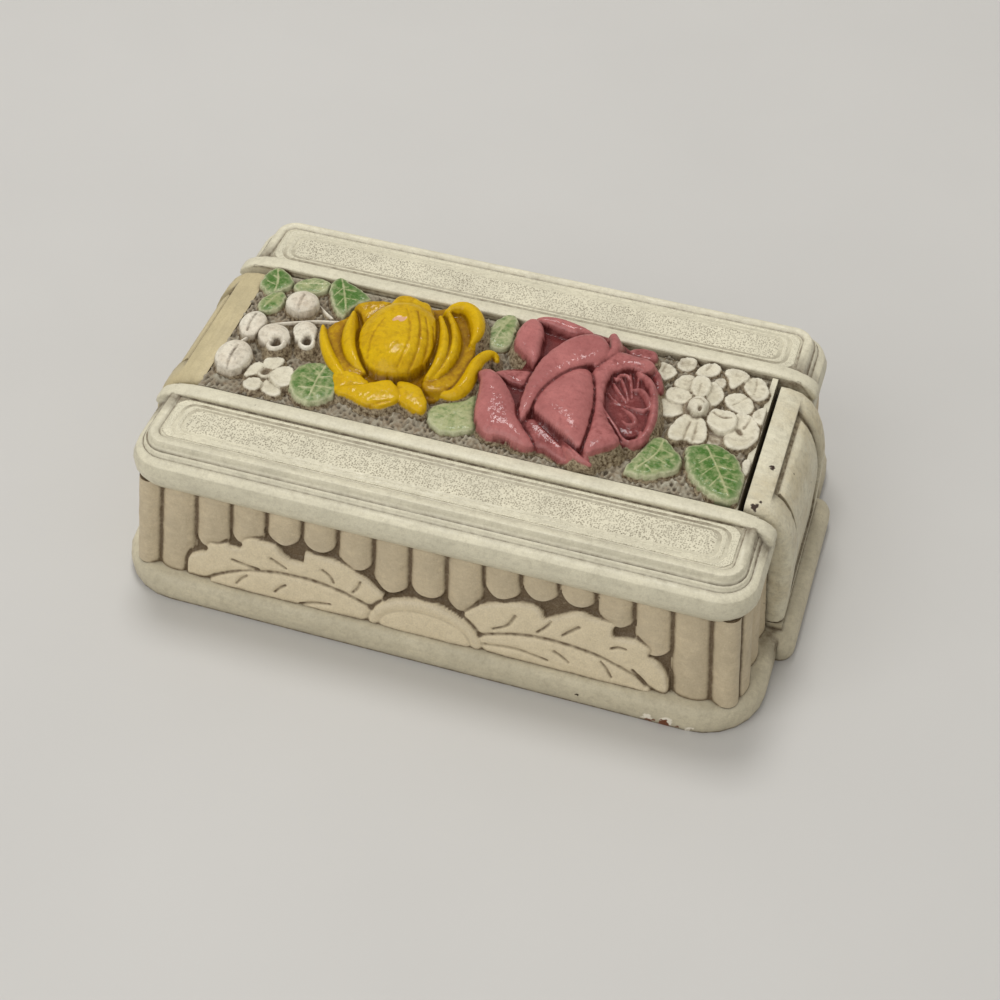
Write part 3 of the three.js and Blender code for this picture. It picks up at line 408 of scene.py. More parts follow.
def dressed(name, node, crease=38):
    """A merged copy of a frame node, shaded smooth but for its sharp edges, to stand for it."""
    work = bmesh.new()
    work.from_mesh(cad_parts[node].data)
    bmesh.ops.remove_doubles(work, verts=work.verts, dist=0.00001)
    limit = math.radians(0.4)
    bmesh.ops.dissolve_limit(work, angle_limit=limit, verts=work.verts, edges=work.edges)
    sunk = [0.0] * len(work.verts)
    work.verts.index_update()
    for edge in work.edges:
        if edge.is_manifold and not edge.is_convex and edge.calc_face_angle() > math.radians(9):
            for vert in edge.verts:
                sunk[vert.index] = max(sunk[vert.index], min(1, edge.calc_face_angle() / 0.6))
    piece = new_piece(name, work)
    layer = piece.data.attributes.new("groove", "FLOAT", "POINT")
    layer.data.foreach_set("value", sunk)
    piece.data.materials.clear()
    piece.data.set_sharp_from_angle(angle=math.radians(crease))
    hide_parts(node)
    return piece


def wall_place(share, level):
    """Places on the walls' face and their outward directions. The share is 0 in the middle of
    the front and 0.5 in the middle of the back, and the level is 0 at the foot."""
    x = WALL_HALF_X + WALL_BATTER * (1 - level) - WALL_CORNER
    y = WALL_HALF_Y + WALL_BATTER * (1 - level) - WALL_CORNER
    run = np.abs(share) * (4 * x + 4 * y + 4 * WALL_QUARTER)
    near = np.clip((run - x) / WALL_CORNER, 0, math.pi / 2)
    far = np.clip((run - x - WALL_QUARTER - 2 * y) / WALL_CORNER, 0, math.pi / 2)
    on_side = np.clip(run - x - WALL_QUARTER, 0, 2 * y)
    on_back = np.clip(run - x - 2 * WALL_QUARTER - 2 * y, 0, None)
    turn = near + far
    out = np.stack([np.sin(turn), -np.cos(turn)], axis=1)
    place = np.stack([np.minimum(run, x) - on_back, -y + on_side], axis=1) + WALL_CORNER * out
    side = np.where(share < 0, -1.0, 1.0)
    place[:, 0] *= side
    out[:, 0] *= side
    return place, out, run * side


# Carving on the front and the back: shares of a leaf's length from the fan and of its rise
RIGHT_LEAF = [-0.1, 0, -0.1, 0.45, -0.02, 0.68, 0.06, 0.81, 0.17, 0.91, 0.25, 0.94, 0.3, 0.9, 0.32, 0.755,
    0.35, 0.8, 0.42, 0.925, 0.46, 1, 0.5, 1.04, 0.54, 0.985, 0.6, 0.975, 0.66, 0.96, 0.65, 0.78, 0.67, 0.73,
    0.71, 0.755, 0.76, 0.78, 0.81, 0.73, 0.84, 0.68, 0.83, 0.56, 0.865, 0.54, 0.91, 0.42, 0.94, 0.27,
    0.95, 0.06, 0.95, -0.1, -0.1, -0.1]
LEFT_LEAF = [-0.06, 0, -0.06, 0.48, -0.04, 0.525, 0.02, 0.65, 0.1, 0.78, 0.19, 0.86, 0.27, 0.885, 0.34, 0.9,
    0.36, 0.86, 0.365, 0.7, 0.375, 0.685, 0.43, 0.68, 0.46, 0.73, 0.49, 0.83, 0.51, 0.9, 0.57, 0.875,
    0.625, 0.91, 0.68, 0.83, 0.69, 0.68, 0.74, 0.66, 0.77, 0.69, 0.81, 0.645, 0.87, 0.63, 0.875, 0.47,
    0.93, 0.41, 0.97, 0.345, 0.99, 0.22, 1, -0.1, -0.06, -0.1]
LOBE = [-0.02, 0.165, 0.08, 0.29, 0.19, 0.385, 0.31, 0.43, 0.42, 0.43, 0.52, 0.405, 0.62, 0.345, 0.73, 0.245,
    0.82, 0.115, 0.875, 0, 0.875, -0.1, -0.02, -0.1]
LEAF_START = 13.0
LEAF_LENGTH = 48.0
LEAF_RISE = 18.0
FAN_HALF = 14.0
FAN_RISE = 10.4
FAN_INNER_HALF = 11.2
# Heights of the tongues' tips as shares of the wall, from the left one to the right one
TONGUE_TIPS = [0.37, 0.53, 0.66, 0.68, 0.56, 0.39, 0.43, 0.36, 0.66, 0.76, 0.8, 0.66, 0.41]
TONGUE_ROUND = 0.17
VEINS = [
    [21.5, 12.6, 0.35, 20, 9, 0.3, 16.5, 7, 0.2],
    [36.5, 14, 0.3, 34.5, 12, 0.35, 33, 10.4, 0.2],
    [31.5, 5.3, 0.3, 33, 4.6, 0.35, 35, 3.2, 0.2],
    [42.5, 5.5, 0.2, 44, 4, 0.3, 45.3, 1.8, 0.2],
    [50, 5, 0.2, 52, 3, 0.3, 53.3, 1, 0.2],
    [44.5, 10, 0.2, 46, 10.8, 0.3, 47.8, 10.8, 0.2],
    [15, 2, 0.3, 22, 3.4, 0.35, 30, 2.2, 0.2],
    [27, 9.4, 0.2, 29, 11.6, 0.3, 30, 13.4, 0.2],
    [-38.5, 11.6, 0.25, -36.5, 10.4, 0.35, -34.8, 9.6, 0.2],
    [-25.5, 12, 0.25, -23.5, 10.6, 0.35, -22.8, 9, 0.2],
    [-47.5, 1.6, 0.2, -46, 3.6, 0.35, -44.7, 4.7, 0.2],
    [-37.5, 2.2, 0.2, -36, 4, 0.35, -34.8, 4.9, 0.2],
    [-31, 0.3, 0.2, -28, 1.6, 0.35, -23.5, 2.5, 0.2],
    [-48.5, 8.2, 0.2, -45, 7.4, 0.35, -42, 7.3, 0.2],
    [-18, 7.5, 0.2, -16.8, 9, 0.35, -16.2, 11, 0.2],
]


def raised(places, outline, height, stand, swell, soft):
    """An outline raised from the wall's height, rounded over at its edge."""
    depth = inside(places, softened(np.array(outline, float), True, 1))
    crown = stand + swell * (1 - np.exp(-np.maximum(depth, 0) / soft))
    height = height - 0.4 * np.exp(-((depth / 1.1) ** 2)) * (height > -1)
    return height + (crown - height) * smooth_step((depth + 0.45) / 0.9), depth


def wall_carving(run, rise, height):
    """Tongues, leaves and fan over the ribs of the front: heights and where leaf shows."""
    pitch = WALL_REACH / FLUTES
    places = np.stack([run, rise], axis=1)
    rib = np.round(run / pitch)
    first = -(len(TONGUE_TIPS) - 1) // 2
    known = np.abs(rib) <= -first
    tips = np.array(TONGUE_TIPS)[np.clip(rib - first, 0, len(TONGUE_TIPS) - 1).astype(int)]
    off = np.clip((run / pitch - rib) / 0.499, -1, 1)
    edge = (tips + TONGUE_ROUND * (1 - np.sqrt(1 - off * off))) * WALL_HEIGHT
    cleared = known * (1 - smooth_step((rise - edge) / 1.6 + 0.4))
    height = height + (-FLUTE_DEPTH - 0.15 - height) * cleared
    height -= 0.12 * cleared * ripple(places, 1.6, 21) * ripple(places, 2.3, 22)
    leaf = np.zeros(len(run))
    fan = [(FAN_HALF * math.cos(a), FAN_RISE * math.sin(a)) for a in np.linspace(0, math.pi, 24)]
    inner = [(x * 0.8, y * 0.645) for x, y in fan]
    shapes = []
    for side, outline in ((-1, LEFT_LEAF), (1, RIGHT_LEAF)):
        for part, *form in ((outline, 0.05, 0.45, 2.2), (LOBE, 0.75, 0.65, 2.6)):
            placed = [(side * (LEAF_START + LEAF_LENGTH * a), LEAF_RISE * b) for a, b in pairs(part)]
            shapes.append((placed, *form))
    shapes.append(([*fan, (-FAN_HALF, -2), (FAN_HALF, -2)], 0.8, 0.45, 0.9))
    shapes.append(([*inner, (-FAN_INNER_HALF, -2), (FAN_INNER_HALF, -2)], 0.95, 0.5, 2.5))
    for outline, stand, swell, soft in shapes:
        height, depth = raised(places, outline, height, stand, swell, soft)
        leaf = np.maximum(leaf, smooth_step((depth + 0.2) / 0.4))
    for vein in VEINS:
        path = np.array(vein, float).reshape(-1, 3)
        distance, values = along(places, softened(path, False))
        height = height - 0.5 * np.exp(-((distance / (2.2 * values[:, 0])) ** 2)) * leaf
    height += 0.06 * leaf * ripple(places, 6.0, 23)
    return height, leaf, cleared * (1 - leaf)


def cut_back(spot, rise, room, side):
    """Clears an end wall's face for its block, and the right one's for the block's tongue too."""
    behind = np.abs(spot[:, 1]) < BLOCK_HALF + room
    spot[behind, 0] = np.minimum(spot[behind, 0], BLOCK_SEAT - SEAT_GAP)
    groove = (np.abs(spot[:, 1]) < TONGUE_HALF + room) & (WALL_FOOT + rise > TONGUE_FOOT - room)
    if side > 0:
        spot[groove, 0] = TONGUE_TIP - SEAT_GAP
    spot[:, 0] *= side


def end_closing(work, foot, head, left, right, side):
    """The faces that close an end wall: a level top, a foot, two ends and a flat inside."""
    levels = (WALL_FOOT * MM, (WALL_FOOT + WALL_HEIGHT) * MM)
    ledge = [work.verts.new((vert.co.x - side * LEDGE * MM, vert.co.y, levels[1])) for vert in head]
    near, far = ([work.verts.new((side * END_INNER * MM, y * MM, level)) for level in levels]
                 for y in (-FRONT_INNER, FRONT_INNER))
    strip = [[head[i], head[i + 1], ledge[i + 1], ledge[i]] for i in range(len(head) - 1)]
    return [*strip, [*foot, far[0], near[0]], [*ledge, far[1], near[1]],
            [*right, ledge[-1], far[1], far[0]], [*left, ledge[0], near[1], near[0]],
            [near[0], near[1], far[1], far[0]]]


def fluted_wall(name, start, stop, step, carved, side=1):
    """A wall from one share round the box to another: rounded ribs on its face, flat inside."""
    top = WALL_HEIGHT + WALL_TUCK
    mesh, places, order, shape = grid((start * WALL_REACH, 0), (stop * WALL_REACH, top), step)
    share = places[:, 0] / WALL_REACH
    rise = places[:, 1]
    spot, out, run = wall_place(share, rise / WALL_HEIGHT)
    across = np.abs(share * FLUTES - np.round(share * FLUTES)) * 2
    height = -FLUTE_DEPTH * across ** 2.3
    height += 0.05 * ripple(places, 5.0, 3)
    leaf = ground = np.zeros(len(share))
    if carved:
        height, leaf, ground = wall_carving(run, rise, height)
    sunk, crest = hollows(height, shape, step, -FLUTE_DEPTH - 1)
    sunk = np.maximum(sunk, 0.6 * ground)
    spot = spot + out * height[:, None]
    rise = np.where(np.abs(spot[:, 1]) < OPENING, rise * WALL_HEIGHT / top, rise)
    if not carved:
        cut_back(spot, rise, SEAT_GAP + step, side)
    table = np.column_stack([spot, WALL_FOOT + rise]).reshape(*shape, 3)
    if carved:
        table[:, [0, -1], 1] = -FRONT_INNER
    else:
        table[:, 0, 1], table[:, -1, 1] = -FRONT_INNER, FRONT_INNER
    set_points(mesh, order, table.reshape(-1, 3), {"hollow": sunk, "crest": crest, "tone": leaf})
    work = opened(mesh)
    rows = order.reshape(shape)
    foot, head, left, right = (
        [work.verts[i] for i in line] for line in (rows[0], rows[-1], rows[:, 0], rows[:, -1]))
    if carved:
        closing = [foot, head, [*left, *reversed(right)]]
    else:
        closing = end_closing(work, foot, head, left, right, side)
    for corners in closing:
        work.faces.new(corners)
    bmesh.ops.recalc_face_normals(work, faces=work.faces)
    piece = new_piece(name, work)
    piece.data.set_sharp_from_angle(angle=math.radians(50))
    return piece


def mirrored_piece(piece, name, scale):
    """The same piece on the other side of the box."""
    work = bmesh.new()
    work.from_mesh(piece.data)
    bmesh.ops.scale(work, vec=scale, verts=work.verts)
    bmesh.ops.reverse_faces(work, faces=work.faces)
    twin = new_piece(name, work)
    twin.data.set_sharp_from_angle(angle=math.radians(50))
    return twin


# Finishes

def linear(colour):
    """A display colour as the shader wants it."""
    return tuple(c / 12.92 if c <= 0.04045 else ((c + 0.055) / 1.055) ** 2.4 for c in colour) + (1,)


def darker(colour, share):
    return tuple(c * share for c in colour)


def tinted(colour, shares):
    return tuple(c * f for c, f in zip(colour, shares))


# Numbers of a mix node's colour sockets
MIX_FIRST, MIX_SECOND, MIX_RESULT = 6, 7, 2


class Nodes:
    """Adds nodes to a material, joins them and keeps the colour that is built up."""

    def __init__(self, name, first, second, patchy, **kind):
        self.material = bpy.data.materials.new(name)
        self.material.use_nodes = True
        self.tree = self.material.node_tree
        self.place = self.tree.nodes.new("ShaderNodeTexCoord").outputs["Object"]
        self.undertone = self.patches(*patchy, **kind)
        self.colour = self.mix(self.undertone, linear(first), linear(second))

    def put(self, socket, value):
        if isinstance(value, bpy.types.NodeSocket):
            self.tree.links.new(value, socket)
        else:
            socket.default_value = value

    def add(self, kind, inputs, **settings):
        """A new node, its inputs joined or set."""
        node = self.tree.nodes.new("ShaderNode" + kind)
        for name, value in settings.items():
            setattr(node, name, value)
        for label, value in inputs.items():
            self.put(node.inputs[label], value)
        return node

    def finish(self, **inputs):
        """Sets or joins the shader's inputs, and the colour as it stands."""
        shader = self.tree.nodes["Principled BSDF"]
        for label, value in {"Base_Color": self.colour, **inputs}.items():
            self.put(shader.inputs[label.replace("_", " ")], value)
        return self.material

    def noise(self, size, detail=3, stretch=(1, 1, 1), rough=0.55):
        """Noise whose marks are about the given size in millimetres."""
        mapping = self.add("Mapping", {"Scale": stretch, "Vector": self.place})
        return self.add("TexNoise", {
            "Vector": mapping.outputs[0], "Scale": 1 / (size * MM), "Detail": detail, "Roughness": rough,
        }).outputs["Fac"]

    def dots(self, size, spread=1.0):
        """Distance to the nearest of many scattered points."""
        return self.add("TexVoronoi", {
            "Vector": self.place, "Scale": 1 / (size * MM), "Randomness": spread}).outputs["Distance"]

    def value(self, name):
        return self.add("Attribute", {}, attribute_name=name).outputs["Fac"]

    def band(self, source, low, high, to_low=0.0, to_high=1.0):
        return self.add("MapRange", {
            "Value": source, "From Min": low, "From Max": high, "To Min": to_low, "To Max": to_high,
        }).outputs["Result"]

    def patches(self, size, detail, low, high, to_low=0.0, to_high=1.0, **kind):
        """Noise between two bounds."""
        return self.band(self.noise(size, detail, **kind), low, high, to_low, to_high)

    def clamped(self, operation, first, second):
        return self.add("Math", {0: first, 1: second}, operation=operation, use_clamp=True).outputs[0]

    def product(self, first, second):
        return self.clamped("MULTIPLY", first, second)

    def greater(self, first, second):
        return self.clamped("MAXIMUM", first, second)

    def total(self, first, second):
        return self.add("Math", {0: first, 1: second}).outputs[0]

    def spot(self, place, radius):
        """One inside a ragged patch round a place given in millimetres."""
        wobble = self.add("TexNoise", {"Vector": self.place, "Scale": 1 / (1.2 * radius * MM)})
        terms = {0: wobble.outputs["Color"], 1: (2.4 * radius * MM,) * 3, 2: self.place}
        push = self.add("VectorMath", terms, operation="MULTIPLY_ADD")
        middle = tuple((axis + 1.2 * radius) * MM for axis in place)
        gap = self.add("VectorMath", {0: push.outputs[0], 1: middle}, operation="DISTANCE")
        return self.band(gap.outputs["Value"], radius * MM, 0.75 * radius * MM)

    def mix(self, share, first, second):
        inputs = {"Factor": share, MIX_FIRST: first, MIX_SECOND: second}
        return self.add("Mix", inputs, data_type="RGBA").outputs[MIX_RESULT]

    def lay(self, share, colour):
        """Lays a colour over what is there so far."""
        over = colour if isinstance(colour, bpy.types.NodeSocket) else linear(colour)
        self.colour = self.mix(share, self.colour, over)

    def crevice_glaze_and_shade(self, reach):
        """One where the surface is hemmed in by what is round it: the mask for glaze and painted shade in
        crevices and near other parts.
        """
        node = self.add("AmbientOcclusion", {"Distance": reach * MM, "Color": (1, 1, 1, 1)}, samples=8)
        return self.clamped("SUBTRACT", 1.0, node.outputs["AO"])

    def bump(self, height, strength, distance, normal=None):
        node = self.add("Bump", {"Strength": strength, "Distance": distance * MM, "Height": height})
        if normal is not None:
            self.put(node.inputs["Normal"], normal)
        return node.outputs["Normal"]

    def soft_edges(self, radius):
        return self.add("Bevel", {"Radius": radius * MM}, samples=4).outputs["Normal"]


# The bare earth colours of the carving's skirts
EARTH = ((0.32, 0.245, 0.165), (0.70, 0.64, 0.53))


def painted(name, main, shade, recess, rough, tone=None, rim=None, coat=0.0, glaze=1.0, edges=0.35,
            specks=0.5, grain=0.16, chip=None, marks=(), rub=1.0, mottle=0.12, brush=(0.14, 1, 1),
            ridges=0.0, patchy_tone=0.35):
    """Brushed paint over carved stuff, with glaze and painted shade in its recesses, and crests paler from
    rubbing and a painted highlight.
    """
    nodes = Nodes(name, main, shade, (9, 4, 0.38, 0.66))
    nodes.lay(nodes.patches(1.1, 4, 0.42, 0.72, 0, 0.5, stretch=brush), darker(main, 0.9))
    if tone is not None:
        patches = nodes.patches(1.8, 5, 0.3, 0.7, -patchy_tone, 0.35, rough=0.65)
        nodes.lay(nodes.band(nodes.total(nodes.value("tone"), patches), 0.1, 0.75), tone)
    if rim is not None:
        edge = nodes.band(nodes.value("rim"), 0.18, 0.6)
        nodes.lay(nodes.product(edge, nodes.patches(1.6, 2, 0.3, 0.5, 0.35, 1)), rim)
    wear_and_highlight = bpy.context.scene.trinket_carving.wear_and_highlight
    # Crests paler: rubbed paint, and a painted highlight
    pale = tuple(min(1, c * 0.75 + 0.25) for c in main)
    nodes.lay(nodes.product(nodes.value("crest"), 0.9 * rub * wear_and_highlight), pale)
    streaks = nodes.patches(1.4, 4, 0.3, 0.7, 0.55, 1.25)
    # Glaze in the hollows and along the grooves, with painted shade where the surface is hemmed in
    sunk, occluded_shade, lines = (nodes.product(where, streaks) for where in (
        nodes.band(nodes.value("hollow"), 0.07, 0.62), nodes.band(nodes.crevice_glaze_and_shade(1.5), 0.12, 0.5),
        nodes.band(nodes.value("groove"), 0.4, 1.0, 0, 0.8)))
    glaze_and_shade = nodes.product(nodes.clamped("ADD", sunk, nodes.greater(occluded_shade, lines)), glaze)
    # A broader painted shade near other parts, laid in the glaze colour
    nodes.lay(nodes.greater(glaze_and_shade, nodes.band(nodes.crevice_glaze_and_shade(6), 0.3, 0.9, 0, 0.45)), recess)
    nodes.lay(nodes.patches(1.5, 6, 0.47, 0.68, 0, mottle, rough=0.72), recess)
    nodes.lay(nodes.patches(0.32, 2, 0.35, 0.7, 0, 0.3), darker(main, 0.8))
    if specks:
        nodes.lay(nodes.product(nodes.band(nodes.dots(7.0), 0.045, 0.015), specks), darker(recess, 0.5))
    earth = nodes.mix(nodes.patches(0.9, 5, 0.38, 0.62, rough=0.7), *map(linear, EARTH))
    nodes.lay(nodes.band(nodes.value("skirt"), 0.2, 0.8), earth)
    if chip is not None:
        nodes.lay(nodes.band(nodes.value("tone"), -0.35, -0.6), chip)
    for place, radius, colour in marks:
        nodes.lay(nodes.spot(place, radius), colour)
    normal = nodes.soft_edges(edges) if edges else None
    if ridges:
        normal = nodes.bump(nodes.noise(2.4, 2, brush), 1.0, ridges, normal)
    coarse = nodes.bump(nodes.noise(2.6, 3), 0.7, grain * 2.2, normal)
    fine = nodes.bump(nodes.noise(0.5, 2), 0.3, grain * 0.7, coarse)
    gloss = {}
    if coat:
        gloss = {"Coat_Weight": coat, "Coat_Roughness": 0.1,
                 "Coat_Normal": nodes.bump(nodes.noise(1.3, 3), 0.5, 0.13, fine)}
    return nodes.finish(
        Roughness=nodes.patches(3, 3, 0.3, 0.7, rough - 0.08, rough + 0.1),
        Specular_IOR_Level=0.06 if coat else 0.42, Normal=fine, **gloss)


def stippled(name, main, shade, recess):
    """Cream paint over punched dots, brown in the bottom of each."""
    nodes = Nodes(name, main, shade, (12, 4, 0.38, 0.66))
    wobble = nodes.band(nodes.noise(1.1, 2), 0, 1, -0.1, 0.1)
    holes = nodes.band(nodes.clamped("ADD", nodes.dots(0.52, 0.7), wobble), 0.12, 0.48)
    dirt = nodes.product(nodes.clamped("SUBTRACT", 1.0, holes), nodes.patches(3.5, 4, 0.3, 0.65, 0.25, 0.75))
    dirt = nodes.product(dirt, nodes.value("tone"))
    inked = nodes.greater(nodes.band(nodes.value("hollow"), 0.08, 0.45), dirt)
    # Glaze in the cut lines and dots, and painted shade in the field's crevices, laid in the glaze colour
    nodes.lay(nodes.greater(inked, nodes.band(nodes.crevice_glaze_and_shade(2.2), 0.25, 0.75, 0, 0.8)), recess)
    coarse = nodes.bump(nodes.noise(2.2, 3), 0.4, 0.25)
    return nodes.finish(Roughness=0.62, Normal=nodes.bump(holes, 0.6, 0.3, coarse))


def plain_wood(name, main, shade):
    """Bare close-grained wood, as inside the grooves."""
    nodes = Nodes(name, main, shade, (1.2, 4, 0.3, 0.7), stretch=(0.12, 1, 1))
    return nodes.finish(Roughness=0.7, Normal=nodes.bump(nodes.undertone, 0.3, 0.15))


def finish_piece(piece, material, body):
    piece.data.materials.clear()
    piece.data.materials.append(material)
    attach(piece, body)


def finish(name, make, *colours, **look):
    """Makes a finish once, and finds it again after."""
    return bpy.data.materials.get(name) or make(name, *colours, **look)


# Places where the cream paint is chipped or stained: where, how far and in what colour
CHIP = (0.45, 0.24, 0.12)
STAIN = (0.22, 0.15, 0.10)
PALE = (0.95, 0.92, 0.85)
MARKS = (
    ((55.5, -52.4, 2.0), 1.6, PALE), ((59.5, -52.2, 1.6), 1.9, PALE), ((64.6, -51.8, 1.2), 1.5, PALE),
    ((55.8, -52.2, 1.0), 1.3, CHIP), ((59.0, -52.2, 0.8), 1.5, CHIP), ((62.0, -52.0, 0.6), 1.4, CHIP),
    ((65.0, -51.6, 0.8), 1.3, CHIP), ((69.0, -50.8, 1.0), 0.8, (0.5, 0.4, 0.3)),
    ((69.8, -7.1, 44.2), 0.8, STAIN), ((68.7, -20.6, 44.2), 1.0, STAIN), ((69.6, -18.8, 44.2), 0.5, STAIN),
    ((38.4, -52.8, 3.3), 0.5, STAIN), ((79.6, 20.0, 18.0), 0.4, STAIN),
)


def foot_paint():
    paint = bpy.context.scene.trinket_paint
    dull = tinted(paint.cream, (0.945, 0.93, 0.91))
    return finish("dulled_foot_paint", painted, dull, darker(dull, 0.92), paint.antique, 0.52,
                  marks=MARKS, mottle=0.2)


def cream_paint():
    paint = bpy.context.scene.trinket_paint
    return finish("brushed_cream_paint", painted, paint.cream, darker(paint.cream, 0.945), paint.antique,
                  0.46, marks=MARKS, mottle=0.2)


def framed(low, high):
    """An oblong outline with tight corners."""
    points = []
    for x, y, side, up in ((low[0], low[1], 1, 1), (high[0], low[1], -1, 1), (high[0], high[1], -1, -1),
                           (low[0], high[1], 1, -1)):
        near = [(x, y + up), (x, y), (x + side, y)]
        points += near if side == up else near[::-1]
    return points


def round_outline(x, y, half_x, half_y, turn=0.0, count=14):
    """Points of an oval round a place."""
    points = []
    cosine, sine = math.cos(turn), math.sin(turn)
    for number in range(count):
        angle = 2 * math.pi * number / count
        a, b = half_x * math.cos(angle) * 1.06, half_y * math.sin(angle) * 1.06
        points.append((x + a * cosine - b * sine, y + a * sine + b * cosine))
    return points


# Sizes as seen: the yellow bloom, from the back petals to the low front ones
BLOOM = [
    Petal(45.2, 46, 2, 1, [-43, 2.5, -40, -4, -36, -9, -33, -13, -29, -15, -18, -14.5, -13, -14, -9.5, -12.5,
        -8, -10, -5.5, -7, -4.5, 0, -6, 4, -7.5, 9, -9, 17, -13, 22, -17, 21, -20, 18.5, -30, 18.5,
        -38, 14.5, -40, 9]),
    Petal(47.2, 47.6, 2, 0.6, [-43.5, 3, -41, -2, -37, -7, -33, -10.5, -28, -9, -32, -4, -35, 2, -36, 8,
        -39, 10, -42, 7]),
    Petal(47.4, 47.8, 2, 0.55, [-17, 19, -13, 21.5, -10, 19, -8, 13, -6, 6, -5.6, 0, -7, -6, -10, -9.5,
        -15, -9, -14, -3, -14, 5, -15, 12], (-0.05, 0)),
    Petal(47.5, 48.4, 1.5, 0.45, [-39.8, 13.5, -38.5, 15.8, -36, 17.4, -33, 18.4, -30.8, 18.2, -31.2, 14.5,
        -33.4, 10, -34.6, 6.5, -36, 9.5, -38.4, 12.8], (0, 0.22)),
    Petal(49.2, 50.2, 1.2, 0.25, [-31.6, 16, -31, 20.4, -28.6, 21.8, -25.6, 21.2, -24.4, 20.3, -22.8, 20.6,
        -21.2, 19, -20.2, 15.6, -22, 14, -28, 14]),
    Petal(46.4, 52.6, 4.6, 0.12, [-34.3, 4.5, -33.8, 9, -32, 13, -29.4, 16, -25, 17.4, -20.6, 15.9,
        -17.2, 12, -15.6, 7, -14.9, 1, -15.6, -4, -18.2, -8, -23, -9.8, -28, -8.6, -31.8, -4, -33.7, 0.5]),
    Ridge(0.05, [-39.3, 12.2, 48.6, 0.4, -38.8, 8.5, 49.6, 1.3, -37.6, 4, 50, 1.7, -35.4, -0.5, 49.8, 1.7,
        -32.6, -4.3, 49, 1.4, -29.4, -7.4, 47.6, 0.6]),
    Ridge(0, [-44.6, 5, 48.6, 0.35, -43.6, 2.4, 48.8, 0.9, -41, -2, 48.8, 1.3, -37.6, -6.3, 48.4, 1.5,
        -34.4, -9.4, 47.8, 1.4, -31.4, -11.2, 46.8, 0.7]),
    Ridge(0.1, [-18.4, 17.2, 49.6, 0.5, -16, 13, 50.8, 1, -14.3, 8, 51, 1.15, -13.7, 2, 50.6, 1.15,
        -14.3, -3.8, 49, 0.8]),
    Ridge(0.15, [-17.2, 19.6, 49.4, 0.5, -14.2, 15.2, 50.2, 0.95, -12.2, 10, 50.4, 1.1, -11.5, 4, 50, 1.1,
        -12.1, -2, 49, 0.9, -13.6, -7, 47.5, 0.5]),
    Ridge(0, [-17.6, 19.8, 49.4, 0.6, -16.8, 22.4, 50.6, 1.2, -14.4, 24, 51, 1.5, -11.6, 22.8, 51, 1.7,
        -9.4, 19.4, 50.8, 1.7, -8, 15, 50.4, 1.3, -8.1, 10.4, 49, 0.5]),
    Ridge(0.05, [-0.6, 6.6, 47.2, 0.6, -1.8, 8.8, 48.4, 1.1, -3.8, 8.6, 49.2, 1.4, -5.2, 5.2, 49.6, 1.5,
        -5.2, 0.6, 49.4, 1.7, -5.4, -3.6, 49, 2, -6.8, -7.4, 48, 1.9, -9.6, -9, 46.8, 0.8]),
    Petal(46.6, 47.4, 1.6, 0.15, [-36.4, -11, -34.4, -14.6, -33.8, -17.2, -30.6, -17.4, -28, -14.6,
        -25.6, -12, -29, -9.4, -33, -8.6], (0, 0.08)),
    Petal(47.2, 48, 2, 0, [-33.6, -15.4, -32.6, -17, -29.6, -17.2, -27, -18.4, -24, -19, -20.6, -18,
        -18.6, -15.8, -17.8, -13.6, -19.6, -10.8, -22, -8.4, -24.6, -9.8, -28, -12.4, -31, -13.4], (0, 0.1)),
    Petal(46.8, 47.8, 1.8, 0.1, [-18.8, -15, -16.6, -16, -14, -17.2, -11.2, -17.2, -10.8, -15.4, -12, -12.4,
        -14.4, -9, -17.2, -8.2, -21, -8.4, -19.4, -12.6], (0, 0.1)),
    Cut(0.25, 0.4, [-31.6, -15.6, 0.3, -28, -14.8, 0.4, -24, -12.6, 0.4, -21.4, -11, 0.3]),
    Cut(0.2, 0.4, [-14.4, -15.4, 0.3, -15.4, -12.6, 0.4, -17.6, -10.4, 0.3]),
    Cut(0.25, -1, [-28.4, 11.2, 0.5, -27.4, 12.6, 0.9, -26.6, 11.4, 0.7, -26, 12.8, 0.4]),
    Cut(0.3, 0.6, [-24.2, 16.6, 0.2, -21, 10, 0.35, -19.6, 3, 0.35, -20.4, -3.6, 0.2]),
    Cut(0.3, 0.6, [-21.8, 15.6, 0.2, -18.9, 9.6, 0.35, -17.7, 3, 0.35, -18.3, -3.4, 0.2]),
    Cut(0.25, 0.6, [-19.4, 14, 0.2, -16.9, 8, 0.3, -16.1, 2.4, 0.3, -16.7, -2.4, 0.2]),
    Cut(0.2, 0.4, [-27, 16.4, 0.2, -23.8, 10.6, 0.35, -22.2, 4, 0.35, -22.8, -2, 0.2]),
    Cut(0.2, 0.4, [-31, 11, 0.2, -32, 5, 0.35, -31, -1, 0.3]),
]

